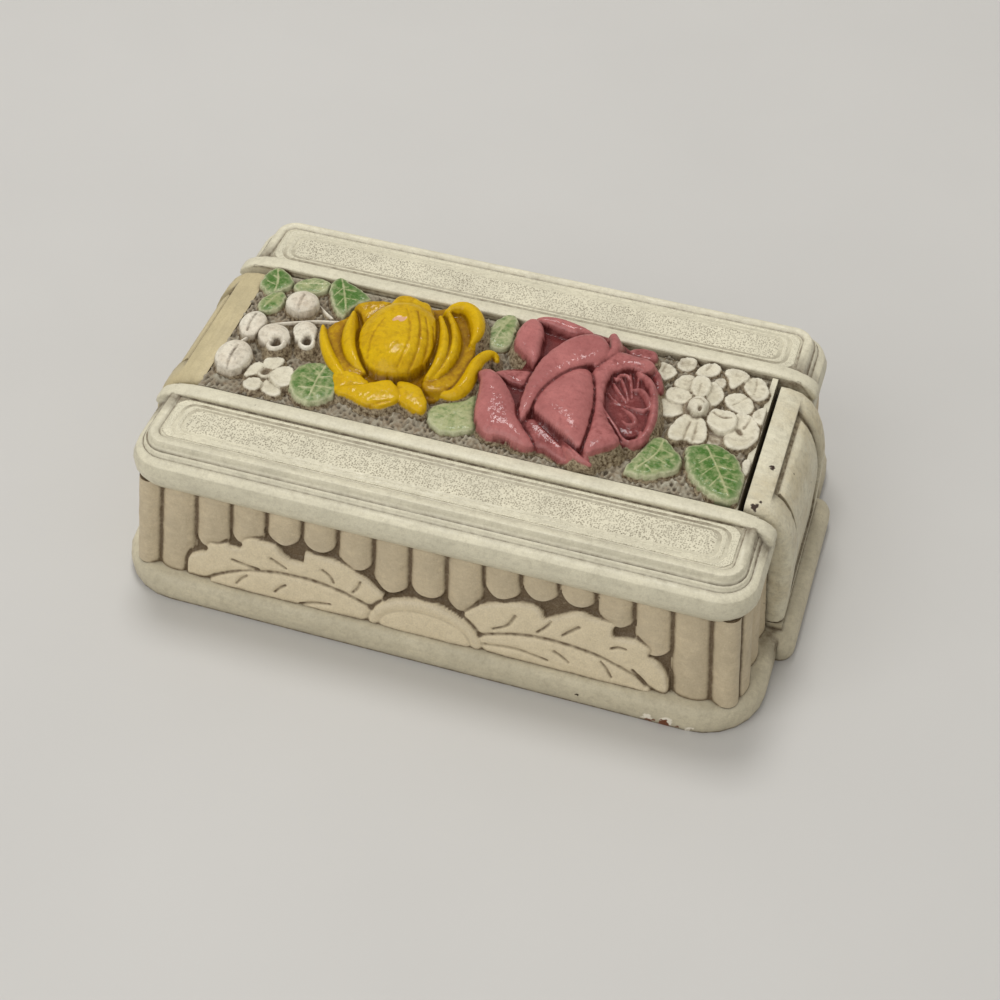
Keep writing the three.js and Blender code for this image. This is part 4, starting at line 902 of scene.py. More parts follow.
# The rose: the outer petals, the curls at the right, the heart and the petals round it
ROSE = [
    Petal(45.4, 46.4, 2, 1, [2, 21, 2, 14, 5, 9, 8.6, 5, 2, 3.4, 0, 0, 0.5, -8, 4, -18, 12, -20, 20, -21,
        27, -21, 32, -16, 38, -12, 40.4, -6, 40.2, 2, 39, 9, 36, 16, 30, 19, 25, 22, 18, 23, 8, 24]),
    Petal(47.6, 48.4, 1, 0.45, [28.6, 18.6, 30.6, 20.6, 33.6, 21.2, 36.1, 20.4, 36.4, 17.8, 34.6, 16.6,
        30, 17]),
    Petal(46.8, 48, 1.4, 0.6, [35.4, 17, 37.4, 14.6, 39.4, 11.4, 40.6, 7.6, 39, 6, 37, 10, 35, 13,
        33.4, 15]),
    Petal(47.4, 48.4, 1.2, 0.25, [-0.4, 1.4, 2.6, 3, 6.6, 4, 9.4, 4.8, 9.4, 0.6, 8.6, -1.2, 5.4, -0.8,
        2.4, 0.2]),
    Petal(48, 49.6, 1.2, 0.15, [3.6, 22.2, 5.4, 24.2, 9, 24.9, 13, 24.5, 16.8, 23.4, 20.4, 22.2, 17.6, 21.2,
        14.8, 20.1, 11.4, 20.9, 8, 21.7, 6, 21.2]),
    Petal(48.2, 50.4, 1.6, 0, [2.6, 21.4, 1.6, 18.5, 1.4, 14.5, 2.6, 11, 5.4, 9, 9, 6.4, 9.5, 9, 8.4, 14,
        8, 18.4, 6.4, 21.4, 4.2, 22.8]),
    Petal(46.9, 49.8, 2.6, 0, [-2.9, 1, -1.4, 2.2, 1.2, 1, 4.2, -1.8, 6.8, -5.4, 9, -8.6, 10.8, -12.4,
        13, -16, 15.6, -18.6, 17.2, -20.6, 15, -22, 12, -21.4, 9, -20.2, 6, -21, 4, -20.2, 1.4, -17,
        0, -12.5, -0.8, -7, -1.6, -3, -3.1, -0.6], (0, 0.13)),
    # The low petal under the dome is given a darker tone: painted shade
    Petal(46.4, 47.8, 1.8, 0.4, [9.6, -8, 11.6, -12.6, 13, -10.8, 15, -10.8, 18, -12.4, 21, -14, 23, -16,
        27, -18.4, 30.8, -20.6, 28.4, -22.6, 25, -23.4, 22.4, -22.8, 20, -21, 17, -20.4, 14.4, -17.4,
        11.6, -14], (0, 0.22)),
    Ridge(0, [22, -15.2, 48.2, 0.4, 24.2, -17, 48.6, 0.8, 27, -19, 48.4, 0.9, 30.2, -20.8, 47.4, 0.4]),
    Petal(46.6, 47.8, 1.2, 0.3, [34.6, -12, 37, -11.4, 39.4, -9, 40.6, -5, 41.2, -9, 40.2, -12, 38, -13.4,
        36, -13, 33, -16.4, 30.6, -17.4, 31.4, -15]),
    Petal(49, 50.6, 1.8, 0.18, [22.3, 8.4, 24, 5, 25.6, 0, 26.6, -5, 27.2, -11, 27.4, -16.4, 28.6, -18.6,
        30.4, -17.2, 31.6, -16, 33.6, -14.4, 35.2, -12, 33, -9.4, 31, -6.8, 29.2, -4, 28, -1, 27.2, 3,
        26.8, 7, 27.4, 9.6, 29.4, 12, 32, 13, 35, 12.2, 36.6, 14.4, 36.2, 16.8, 30, 17.4, 26, 17.8,
        24.4, 15.6, 23.4, 12.4]),
    Ridge(0.3, [33, 12.8, 49.4, 0.5, 36.2, 11.4, 49.6, 0.8, 38.2, 7.4, 49.6, 0.9, 39.4, 3, 49.4, 0.9,
        40.2, -1.6, 49, 0.9, 40, -6.4, 48.4, 0.8, 38.8, -10.4, 47.6, 0.5]),
    Ridge(0.35, [33.4, 6.4, 48.2, 0.3, 35.2, 7.4, 49, 0.55, 37.2, 5.4, 49.2, 0.6, 38.6, 2.6, 49, 0.6,
        38, 0.5, 48.6, 0.5, 35.4, 0.2, 48.2, 0.5, 33.2, 0.4, 47.8, 0.3]),
    Ridge(0.35, [32.6, -0.6, 47.8, 0.3, 34.6, -1.4, 48.4, 0.5, 36.4, -3, 48.8, 0.6, 36.6, -4.8, 48.6, 0.5,
        35.2, -5.6, 48.2, 0.5, 33.6, -4.8, 47.8, 0.3]),
    Ridge(0.3, [32.4, -5.8, 47.6, 0.3, 33.4, -8.4, 48, 0.5, 35.4, -10.8, 48, 0.6, 37.6, -11, 48, 0.6,
        39, -9, 47.8, 0.6, 38.8, -7, 47.6, 0.4]),
    Petal(46.8, 47.6, 2, 0.75, round_outline(33.6, 1.5, 6.4, 11.5, 0.25)),
    Ridge(0.5, [28.4, 7, 48.4, 0.3, 30.4, 4.6, 48.4, 0.5, 33, 1.6, 47.8, 0.4]),
    Ridge(0.5, [29.6, 9.4, 48.6, 0.3, 31.4, 6.4, 48.4, 0.5, 33.2, 2.6, 47.8, 0.4]),
    Ridge(0.5, [31.4, 11.4, 48.6, 0.3, 32.4, 8.2, 48.4, 0.5, 33.8, 3.6, 47.8, 0.4]),
    Ridge(0.5, [33.4, 11.8, 48.6, 0.3, 34, 8.8, 48.4, 0.4, 34.4, 5.4, 47.8, 0.3]),
    Ridge(0.6, [27.9, 3.4, 48.2, 0.3, 30, 1.4, 48, 0.45, 32.6, 0, 47.6, 0.4]),
    Ridge(0.2, [27.6, 9.2, 48.8, 0.3, 29, 8.6, 48.8, 0.5, 28.6, 10.4, 48.9, 0.5, 30.6, 11.2, 48.8, 0.5,
        31.4, 10, 48.6, 0.3]),
    Ridge(0.15, [28, -1.8, 49.4, 0.3, 30, -4.2, 49.4, 0.5, 32.4, -6.8, 49, 0.5, 34.6, -10, 48.4, 0.4]),
    Petal(48.4, 52.2, 3.4, 0, [20.5, 9.2, 22, 8.7, 23.8, 5.5, 25.2, 1, 26.3, -4, 27, -10, 27.3, -16,
        26.4, -17.4, 22, -14.9, 17.5, -12, 14.8, -10.2, 13, -9, 12.8, -5, 13.6, -1, 15.4, 3, 18, 7]),
    Petal(49.6, 51.6, 2.2, 0, [9.4, -7.4, 9, -2, 9.1, 3, 9.6, 8, 10.8, 12, 13, 16.4, 15.6, 19.8, 18.2, 21.3,
        21.6, 21.8, 24.6, 18.4, 24.6, 15, 23.6, 12.8, 21.6, 11, 19.6, 9.6, 17.6, 7, 15.8, 4, 14.2, 1,
        13.1, -3, 12.4, -8, 11.6, -12, 10.3, -11], (0.05, 0.03)),
    Ridge(0.1, [23.9, 24, 50.4, 1, 25, 22, 51, 1.5, 25.1, 19, 51.2, 1.5, 24.1, 15.8, 51, 0.9,
        22.4, 12.6, 50.8, 0.6]),
    Cut(0.3, 0.5, [14.6, -8.6, 0.2, 17.4, -10.4, 0.35, 21.6, -12.8, 0.35, 25.6, -16, 0.25]),
    Cut(0.12, 0.3, [28.4, 12.6, 0.2, 27, 14.6, 0.3, 26.2, 16.8, 0.2]),
]


def serrated(outline, tooth=2.2, reach=0.4):
    """An outline with small teeth that point along it."""
    points = np.array(pairs(outline), float)
    after = np.roll(points, -1, axis=0)
    turn = np.sign(np.sum(points[:, 0] * after[:, 1] - after[:, 0] * points[:, 1]))
    made = []
    for start, end in zip(points, after):
        side = end - start
        length = math.hypot(*side)
        out = turn * np.array([side[1], -side[0]]) / length * reach
        count = max(1, round(length / tooth))
        for number in range(count):
            made += [start + side * number / count, start + side * (number + 0.72) / count + out]
    return made


def leaf_forms(outline, edge, top, tone, midrib, veins, soft=1.6):
    """A leaf: its blade, its midrib and its side veins."""
    forms = [Petal(edge, top, soft, tone, serrated(outline), rounds=1)]
    forms.append(Cut(-0.16, -0.1, [(*place, 0.17) for place in pairs(midrib)]))
    forms += [Cut(-0.1, 0.1, [(*place, 0.13) for place in pairs(vein)]) for vein in veins]
    return forms


LEAVES = {
    "leaf_left_corner": leaf_forms([-63, 21.8, -61.2, 21.4, -58.6, 19.4, -57, 17.2, -58.4, 14.4, -60.8, 11.6,
        -63.4, 13, -65, 14.5, -65, 18.5, -64.2, 20.6], 45.4, 46.2, 0.75, [-62.6, 20.6, -60.6, 16,
        -60.2, 12.6], [[-60.8, 17, -62.6, 18], [-60.4, 14.6, -63.4, 15.6]]),
    "leaf_left_low": leaf_forms([-58.2, 13.4, -57, 11.4, -56.6, 8.6, -58, 6, -60, 4.6, -61.4, 5.2, -62.6, 8,
        -61.8, 10.4, -60.2, 12.6], 45.4, 46.1, 0.55, [-58.6, 12.4, -59.6, 9, -60.4, 5.8], [[-59.4, 9.6,
        -61.4, 9]]),
    "leaf_left_back": leaf_forms([-57, 16.8, -55.4, 19.4, -52.6, 21.2, -50, 21, -47.8, 19.8, -48.6, 16.8,
        -51, 15.2, -55, 14.8], 45.4, 46.1, 0.4, [-56, 16.8, -52, 18, -48.8, 19.2], [[-53, 17.8,
        -51.6, 20.2]]),
    "leaf_beside_bloom": leaf_forms([-46.6, 23.3, -44, 21.6, -41, 20.4, -38, 18.6, -36.6, 17.2, -38.6, 15.2,
        -40, 12.4, -41, 9.2, -43.4, 10.8, -45.6, 14, -47.6, 18, -48.1, 20.6], 45.8, 46.8, 0.8, [-46.2, 22.4,
        -43.4, 17, -40.8, 11], [[-44, 18.4, -41, 18.6], [-42.6, 15.4, -40, 15.6], [-44.6, 18.6, -45.6, 15.6],
        [-43, 15.4, -43.6, 12.4]]),
    "leaf_between_back": leaf_forms([-0.8, 23.8, -3, 22.6, -4.8, 19.5, -5.2, 16, -5, 12, -3, 10, 0, 10.2,
        1.5, 12.6, 1, 16, 0.4, 20], 45.4, 46.2, 0.35, [-1, 22.6, -2.4, 17, -2.8, 12], [[-2, 18.4,
        -4.2, 16.6], [-2.4, 15.6, -0.2, 14], [-2.6, 13.4, -4.6, 12]]),
    "leaf_round": leaf_forms([-38.5, -8.7, -35.5, -9.5, -33, -12, -32.3, -16, -33.5, -19.5, -36, -22,
        -38.5, -22.8, -41.5, -21.5, -44, -18.5, -45, -14.5, -44, -11, -41.5, -9.2], 45.8, 46.9, 0.6,
        [-38, -9.6, -38.4, -14, -38, -20.6], [[-38.3, -13, -40.6, -11.4], [-38.4, -16, -42, -14.6],
        [-38.2, -18, -41.6, -18.4], [-38.3, -14, -35.8, -12.8], [-38.3, -17, -34.4, -16.6]], 1.2),
    "leaf_between_front": leaf_forms([-10.4, -16.6, -8.8, -13.8, -6.5, -12.4, -3.5, -10.6, -1.6, -7.4,
        -0.4, -9, 0.3, -13, 1.5, -17, 2.5, -18.6, 0, -20.5, -3, -21.8, -6, -22, -8.6, -20], 45, 46, 0.25,
        [-1.6, -9, -3.6, -14, -6.4, -20], [[-3, -12.8, -6.4, -14], [-4, -15, -1, -16.4], [-5, -17,
        -8.6, -17]]),
    "leaf_right_front": leaf_forms([44, -7.8, 45.8, -8.9, 47.5, -11, 49.5, -12.6, 50, -15, 49, -18,
        46.6, -19.4, 44.5, -21, 41, -21.6, 38.2, -21, 39, -18, 40.3, -14, 41.3, -10.5, 42, -8.6], 45.6, 46.6,
        0.6, [44.6, -9, 44.4, -14, 40.6, -20.4], [[44.6, -12, 47.6, -13], [44, -15, 48, -17], [44.4, -13,
        42.4, -12], [43.4, -17, 41.4, -16], [42.6, -18, 44.6, -19.8]]),
    "leaf_right_corner": leaf_forms([54, -6.8, 57, -6.4, 60, -8, 61.6, -9, 62.8, -10.8, 63.4, -12.6,
        64.6, -14.2, 64.6, -16, 65.2, -18, 64.6, -20, 64.8, -21.8, 62.6, -23.4, 59.5, -22.8, 56.5, -21.2,
        53.5, -18.4, 51.5, -15, 50.5, -11.5, 50.2, -8.8, 52.5, -7.8], 45.8, 47, 0.7, [54.4, -8, 58, -13.6,
        62.6, -22], [[56, -10.6, 60, -10.4], [57.8, -13.4, 62.2, -13.4], [59.4, -16.4, 63.4, -16.8],
        [60.8, -19, 63.6, -19.8], [56, -10.8, 54, -13.6], [57.6, -13.6, 55.6, -17], [59.4, -16.6, 58, -20]]),
}


def berry_forms(x, y, half_x, half_y, top, turn, hole):
    """A swollen berry that opens in a small hole, or else has a shallow furrow."""
    forms = [Petal(45.8, top, 2.4, 0.0, round_outline(x, y, half_x, half_y, turn))]
    if hole:
        a, b = hole
        ring = round_outline(a, b, 1.5, 1.9, turn, 10)
        forms.append(Ridge(0.0, [(*place, top - 0.3, 0.5) for place in [*ring, ring[0]]]))
        forms.append(Cut(2.4, 1.0, [a, b - 0.4, 0.9, a + 0.1, b + 0.5, 0.9]))
    else:
        furrow = [x - 0.6, y + half_y * 0.8, 0.3, x - 0.8, y, 0.4, x - 0.4, y - half_y * 0.6, 0.3]
        forms.append(Cut(0.3, 0.4, furrow))
    return forms


BERRIES = {
    "berry_back": berry_forms(-52, 10.4, 4.0, 3.9, 48.6, 0.2, None),
    "berry_left": berry_forms(-60.7, -0.4, 3.1, 4.6, 47.4, 0.1, None),
    "berry_middle": berry_forms(-54, -3.2, 4.2, 3.7, 48.2, -0.7, (-53, -4.6)),
    "berry_right": berry_forms(-47.2, 0.2, 3.0, 4.0, 48.0, 0.5, (-46.2, -1.8)),
    "berry_front": berry_forms(-60.3, -13.4, 4.2, 5.4, 48.6, 0.1, None),
}

STEM = [
    Ridge(0, [-61.6, -7.4, 45.8, 0.3, -60, -4, 46, 0.32, -58.2, 0, 46, 0.34, -56, 1.8, 46, 0.34,
        -53, 3.3, 46, 0.34, -50, 4.6, 46, 0.34, -47, 6, 46, 0.34, -43, 7, 46, 0.34, -40.4, 7.8, 46, 0.3]),
    Ridge(0, [-49, 12.4, 45, 0.25, -46, 10, 45.4, 0.28, -43.4, 8.2, 45.6, 0.28]),
]

# The softness that marks the button in the middle of a small blossom
BUTTON_SOFT = 1.25

BLOSSOM_SETS = {
    "blossom_large": [
        Petal(45, 47, 1.8, 0, [39.3, 3, 40, 6, 42.5, 6.1, 45.5, 5.6, 46.8, 4, 46, 2, 43.5, 0.8, 40.8, 0.2],
            (0.05, 0)),
        Petal(45, 47, 1.6, 0.05, [40.8, 8, 42, 11, 45.5, 10.6, 47.2, 9, 46.9, 6.6, 45, 5.9, 42, 6.3], (0.05,
            0)),
        Petal(45.2, 47.2, 1.6, 0.05, [42.3, 13.3, 43.4, 15.5, 46, 16.2, 46.9, 13, 47.2, 10.4, 45, 10.3,
            42.3, 11.5], (0.04, -0.04)),
        Petal(45.4, 47.4, 1.4, 0, [46.2, 13, 46.3, 16, 48, 16.9, 50, 15.9, 50.4, 13, 50, 10.2, 48.3, 9.7,
            46.9, 10.5], (0, -0.04)),
        Petal(45.2, 47.2, 1.6, 0.05, [50.2, 15.5, 52.5, 14.6, 54.2, 12, 53.9, 9.5, 52.5, 7.2, 51, 8.4,
            50.1, 11], (-0.05, 0)),
        Petal(45.2, 47.6, 1.8, 0, [47.5, 2.6, 46, 0.5, 44.8, -3, 45.1, -5.9, 47, -6.6, 49, -5.2, 50.5, -6.2,
            52.6, -6.1, 53.2, -3.5, 52.4, 0, 51.2, 2.1, 49.5, 2.6], (0, 0.05)),
        Petal(46.4, 46.3, BUTTON_SOFT, 0.7, round_outline(49.2, 5.2, 3.1, 3.9)),
        Petal(47, 48.9, BUTTON_SOFT, 0.1, round_outline(49.4, 5.3, 2.3, 3)),
        Cut(0.9, 1, [49.9, 4.3, 0.4, 50, 4.7, 0.4]),
        Cut(0.3, 0.5, [48.4, 7.2, 0.3, 49.6, 7.4, 0.3, 50.6, 6.6, 0.3]),
        Cut(0.4, 0.4, [48.6, 1.6, 0.25, 48.2, -2, 0.35, 48.4, -4.6, 0.3]),
        Cut(0.35, 0.4, [50.2, 1.6, 0.25, 50.4, -2, 0.35, 50.4, -5, 0.3]),
        Cut(0.3, 0.3, [48.2, 10.4, 0.2, 48, 13, 0.3, 48, 15.6, 0.25]),
    ],
    "blossom_upper": [
        Petal(44.8, 46.8, 1.6, 0.05, [57.8, 17, 59.3, 19.6, 61, 20.4, 63, 18.6, 64.2, 15.5, 63, 12.9,
            61, 12.6, 59.4, 14.5]),
        Petal(44.8, 46.6, 1.5, 0.1, [52.6, 20, 54, 21.6, 57, 21.5, 58.6, 20, 57.2, 17.5, 56, 15.3,
            54.8, 15.4, 54.2, 18]),
        Petal(45, 47.2, 1.7, 0, [54.6, 10.4, 55.8, 12.8, 58, 13.5, 60.6, 12.2, 61.7, 9.6, 61, 6.9, 58.5, 6.7,
            56.4, 8]),
        Petal(44.6, 46.6, 1.3, 0.1, [62, 7.5, 63.3, 10, 65, 10.3, 65.1, 5.6, 64.4, 4.5, 62.8, 5.5]),
        Cut(0.25, 0.3, [61, 13.4, 0.2, 61, 16.4, 0.3, 60.6, 19, 0.25]),
        Cut(0.25, 0.3, [57, 8, 0.2, 58.6, 10, 0.3, 59.6, 11.6, 0.25]),
    ],
    "blossom_side": [
        Petal(45, 47, 1.8, 0.1, [58.4, 6.6, 61.5, 6.7, 63.9, 4.2, 64.7, 0.5, 63.6, -3.2, 61, -5.2,
            58.4, -4.6, 57.4, -2, 58.6, 1, 58.8, 3.5]),
        Petal(45.2, 47.4, 1.3, 0, [52.4, 5, 53.4, 6.6, 55, 6.2, 57, 6.8, 58.7, 5, 58.7, 2, 57.6, 0,
            55.5, -0.3, 53, 1, 52.2, 3]),
        # The low bud beside it is given a darker tone: painted shade
        Petal(44.4, 46, 1.2, 0.6, [52.8, -0.6, 55, 0.2, 57.2, -0.6, 58, -3, 56.6, -5.6, 54.4, -6.2,
            52.8, -4]),
        Petal(44.2, 45.6, 1, 0.2, [63.2, -8.6, 64.8, -7.6, 65.1, -11, 64.6, -13.2, 63.6, -12]),
        Cut(0.6, 1, [60.2, 0.2, 0.6, 60.8, -0.4, 0.6]),
        Cut(0.35, 0.5, [53.4, 3.8, 0.25, 55.6, 2.6, 0.35, 57.8, 3.4, 0.25]),
        Cut(0.3, 0.4, [62, 5.4, 0.25, 61.6, 2.8, 0.35, 61.2, 1.4, 0.25]),
    ],
    "blossom_back": [
        Petal(44.8, 46.8, 1.5, 0.05, [46, 18, 47.7, 21.1, 49.5, 22.2, 51.5, 21, 51.2, 18.5, 49, 16.9,
            47.2, 16.6]),
        Petal(44.4, 45.8, 1.2, 0.35, [51.4, 17, 53.4, 17.6, 53.8, 14.8, 52.2, 13.6, 50.8, 15]),
        Petal(44.4, 45.8, 1.2, 0.3, [41, 18.5, 42, 22, 45, 22.6, 45.6, 19, 43.5, 17]),
        Cut(0.25, 0.3, [48.4, 17.8, 0.2, 49, 19.6, 0.3, 49.4, 21.2, 0.25]),
    ],
    "blossom_by_rose": [
        Petal(44.8, 46.4, 1.4, 0.1, [36.2, 17.5, 38, 18.7, 40.6, 17.7, 41.7, 15.5, 39.5, 12.6, 38.2, 13.2,
            37.2, 15.5]),
        Cut(0.25, 0.4, [38.4, 14, 0.2, 38.8, 16, 0.3, 39, 17.8, 0.25]),
    ],
}
BLOSSOM_SETS["blossom_left"] = [
    Petal(45.2, 46.6, 1.4, 0, [-52.6, -13.6, -53.4, -10.4, -51.6, -9.4, -49.5, -9, -48.7, -10.6,
        -50, -13.8]),
    Petal(45.2, 46.8, 1.6, 0, [-50.2, -14.4, -48.6, -12, -46.5, -11.4, -44.6, -13.5, -44.4, -17,
        -46.5, -18.4, -49.8, -16.4]),
    Petal(45, 46.4, 1.4, 0, [-50.6, -17.4, -49, -18, -46, -19.4, -45.4, -21.5, -48, -22, -50.2, -20.8]),
    Petal(45, 46.4, 1.4, 0, [-51.2, -17.6, -51, -21.2, -53, -21.8, -55.4, -20.3, -54.2, -17.8]),
    Petal(45.2, 46.6, 1.5, 0, [-53, -15.8, -55.8, -18, -56, -14.5, -54.8, -12.4, -53.4, -12.2, -52.7, -14]),
    Petal(45.8, 46.4, BUTTON_SOFT, 0.4, round_outline(-51.2, -15.6, 1.9, 1.9)),
    Cut(1.6, 1, [-51.2, -15.9, 1, -51.1, -15.2, 1]),
]

# Small cut scraps of leaf between the flowers and the rails
SCRAPS = [
    Petal(44, 45, 1.2, 0.5, [34, -17.4, 35, -14, 37, -12.2, 38.4, -14, 37.6, -17.6, 36, -19]),
    Petal(43.8, 44.8, 1.2, 0.6, [32, -19.6, 34.4, -18.6, 36.4, -19.6, 36, -22.6, 33.6, -23.2, 32, -22]),
    Ridge(0.3, [47.6, -23, 44.4, 0.5, 48.2, -21.2, 44.8, 0.7, 49.6, -20, 45, 0.7, 51, -21.4, 44.8, 0.7,
        51.6, -23, 44.4, 0.5]),
    Petal(43.8, 44.6, 1.2, 0.3, [52.8, -20, 54.4, -21.4, 56, -22.8, 53.4, -23, 52.4, -22]),
    Petal(43.8, 44.8, 1.4, 0.4, [-31, -18.6, -28, -20, -25, -20.4, -26, -22.8, -30, -22.6, -32, -21]),
    Petal(43.8, 44.6, 1.4, 0.5, [-23, -20.2, -19, -19.2, -16, -18.4, -15, -21, -18, -22.8, -22, -22.6]),
    Petal(43.8, 44.8, 1.4, 0.5, [-14, -18.6, -11.4, -18.8, -9.6, -21, -11, -22.8, -14, -22.4]),
    Petal(43.8, 44.6, 1.4, 0.4, [0, -21.4, 2, -20.2, 4, -21.6, 3, -23, 0, -23]),
    Petal(43.8, 44.6, 1.4, 0.4, [8, -21.6, 10.6, -21, 13, -22.4, 11, -23.2, 8, -23]),
    Petal(43.8, 44.8, 1.4, 0.4, [38, -22.2, 42, -22, 45, -22, 45, -23.4, 39, -23.4]),
    Petal(43.8, 44.8, 1.4, 0.4, [-63, -20, -60, -19.4, -57, -20.6, -57.6, -23, -62, -23.2]),
    Petal(43.8, 44.6, 1.4, 0.4, [-55, -22, -51, -22.6, -47, -22.6, -46, -23.6, -54, -23.6]),
    Petal(43.8, 44.8, 1.3, 0.5, [2, 8.6, 4.6, 7.6, 6.6, 6.4, 6.4, 4.4, 3.4, 4.6, 1.6, 6]),
    Petal(43.8, 44.8, 1.3, 0.4, [-36, 21, -33, 20.4, -32, 22, -34, 23.2, -37, 23]),
    Petal(43.8, 44.6, 1.3, 0.5, [27, 19.6, 29, 21.4, 31, 22.6, 27.6, 23, 26.4, 21.6]),
    Petal(43.8, 44.8, 1.3, 0.4, [37, 20.6, 39.6, 20, 40.6, 22, 38, 23.2]),
]


def broadened(forms, share=1.06, cup=0.5):
    """Petals made broader, so that they nearly meet, and cupped, all but the button in their middle."""
    made = []
    for number, form in enumerate(forms):
        if isinstance(form, Petal):
            outline = points_of(form)
            centre = outline.mean(axis=0)
            if form.soft == BUTTON_SOFT:
                form = form._replace(line=centre + (outline - centre))
            else:
                rise = 0.9 + 0.55 * (number % 2)
                form = form._replace(line=centre + (outline - centre) * share, edge=form.edge + rise,
                                     top=form.edge + rise - cup, rounds=1)
        elif form.depth < 0.7:
            form = form._replace(depth=0.8 * form.depth)
        made.append(form)
    return made


def carve(forms, step, texture, slot, name, *colours, **look):
    """Carves each node's forms in its place on the lid, and paints them."""
    material = finish(name, painted, *colours, edges=0, **look)
    for node, shapes in forms.items():
        piece = relief(f"carved_{SHORT_NAMES.get(node, node)}", shapes, step, texture=texture)
        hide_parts(node)
        finish_piece(piece, material, "lid")
    return {"FINISHED"}


SHORT_NAMES = {"yellow_bloom": "bloom", "berry_stem": "stem"}


class TRINKET_OT_stage(bpy.types.Operator):
    """Makes the camera, the lamps, the floor and the backdrop"""

    bl_idname = "trinket.stage"
    bl_label = "Stage"

    def execute(self, context):
        self.add_camera(context)
        self.add_lamps(context)
        self.add_backdrop(context.scene.trinket_stage)
        context.scene.view_settings.view_transform = "Standard"
        return {"FINISHED"}

    def add_camera(self, context):
        """The camera as fitted to the corners of foot, rails and lid."""
        camera = bpy.data.objects.new("camera", bpy.data.cameras.new("camera"))
        camera.data.lens = 68.17
        camera.data.sensor_width = 36
        camera.data.clip_start = 0.01
        yaw, pitch, roll = 0.286, 0.796, -0.025
        level = math.cos(pitch)
        forward = Vector((-math.sin(yaw) * level, math.cos(yaw) * level, -math.sin(pitch)))
        right = Vector((math.cos(yaw), math.sin(yaw), 0))
        down = forward.cross(right)
        level_right = math.cos(roll) * right + math.sin(roll) * down
        level_down = -math.sin(roll) * right + math.cos(roll) * down
        turn = Matrix((level_right, -level_down, -forward)).transposed().to_4x4()
        place = Vector((97.64, -321.6, 347.39)) * MM
        camera.matrix_world = Matrix.Translation(place) @ turn
        context.scene.collection.objects.link(camera)
        context.scene.camera = camera

    def add_lamps(self, context):
        for name, place, size, power in (
            ("overhead_lamp", (-0.15, 0.35, 1.05), 0.3, 4.6),
            ("side_lamp", (-0.5, -0.95, 0.9), 1.2, 6.6),
        ):
            lamp = bpy.data.objects.new(name, bpy.data.lights.new(name, "AREA"))
            lamp.data.energy = power
            lamp.data.size = size
            lamp.location = place
            lamp.rotation_mode = "QUATERNION"
            lamp.rotation_quaternion = Vector(place).to_track_quat("Z", "Y")
            context.scene.collection.objects.link(lamp)
        world = bpy.data.worlds.new("room")
        context.scene.world = world
        world.use_nodes = True
        back = world.node_tree.nodes["Background"]
        back.inputs["Color"].default_value = (1.0, 0.985, 0.96, 1)
        back.inputs["Strength"].default_value = 0.55

    def add_backdrop(self, settings):
        radius = settings.radius
        work = bmesh.new()
        rim = [work.verts.new((radius * x, 0, radius * z)) for x, z in ((0.02, 0), (1, 0), (1.1, 0.6))]
        edges = [work.edges.new(rim[:2]), work.edges.new(rim[1:])]
        bmesh.ops.spin(work, geom=[*rim, *edges], cent=(0, 0, 0), axis=(0, 0, 1), angle=2 * math.pi,
                       steps=96, use_merge=True)
        hole = [edge for edge in work.edges if edge.is_boundary and edge.calc_length() < radius * 0.01]
        bmesh.ops.holes_fill(work, edges=hole, sides=0)
        bend = [edge for edge in work.edges
                if all(abs(v.co.xy.length - radius) < 1e-6 for v in edge.verts)]
        bmesh.ops.bevel(work, geom=bend, offset=radius * 0.3, segments=10, profile=0.5, affect="EDGES",
                        material=-1)
        bmesh.ops.recalc_face_normals(work, faces=work.faces)
        if work.faces[0].normal.z < 0:
            bmesh.ops.reverse_faces(work, faces=work.faces)
        floor = new_piece("floor", work)
        nodes = Nodes("pale_backdrop", settings.pale, darker(settings.pale, 0.985), (120, 3, 0.35, 0.65))
        floor.data.materials.append(nodes.finish(Roughness=0.6))


class TRINKET_OT_case(bpy.types.Operator):
    """Dresses the foot, the rails and their stippled panels"""

    bl_idname = "trinket.case"
    bl_label = "Foot and rails"

    def execute(self, context):
        finish_piece(dressed("foot_moulding", "base_board"), foot_paint(), "case")
        for side, node in ((-1, "front_rail"), (1, "back_rail")):
            finish_piece(dressed(f"{node}_moulding", node), cream_paint(), "case")
            self.add_field(context.scene.trinket_paint, side, node)
        return {"FINISHED"}

    def add_field(self, paint, side, node):
        """The stippled field, framed by two fine cut lines."""
        step = 0.28
        half_x, near, far = 67.6, 27.9, 40.8
        mesh, places, order, shape = grid((-half_x, near), (half_x, far), step)
        width = np.array([half_x, (far - near) / 2])
        reach = np.abs(places - np.array([0, (near + far) / 2]))
        frames = []
        for inset in (0.0, 1.6, 3.1):
            corner = 3.4 - inset * 0.3
            half = width - inset * np.array([1.35, 0.75])
            off = np.maximum(reach - (half - corner), 0)
            frames.append(corner - np.hypot(*off.T))
        outer, line, field = frames
        inner = smooth_step(field / 0.5)
        level = np.full(len(places), PANEL_TOP + 0.1)
        level -= 0.4 * np.exp(-((line / 0.34) ** 2)) + 0.4 * np.exp(-((field / 0.34) ** 2))
        level += 0.12 * np.exp(-(((line - 0.9) / 0.5) ** 2)) + 0.05 * ripple(places, 4.0, 7)
        dots = ripple(places, 1.0, 11) * ripple(places, 1.2, 12)
        level -= 0.1 * np.clip(dots, 0, 1) * inner
        sunk = hollows(level, shape, step, PANEL_TOP - 1)[0]
        points = np.column_stack([places * np.array([1, side]), level])
        known = {"hollow": np.clip(sunk * 2.6, 0, 1), "tone": inner}
        outside = (outer < 0)[set_points(mesh, order, points, known)]
        piece = closed_relief(f"{node}_field", mesh, outside, PANEL_TOP - 0.6)
        material = finish("stippled_cream_paint", stippled, darker(paint.cream, 0.985),
                          darker(paint.cream, 0.93), paint.antique)
        finish_piece(piece, material, "case")


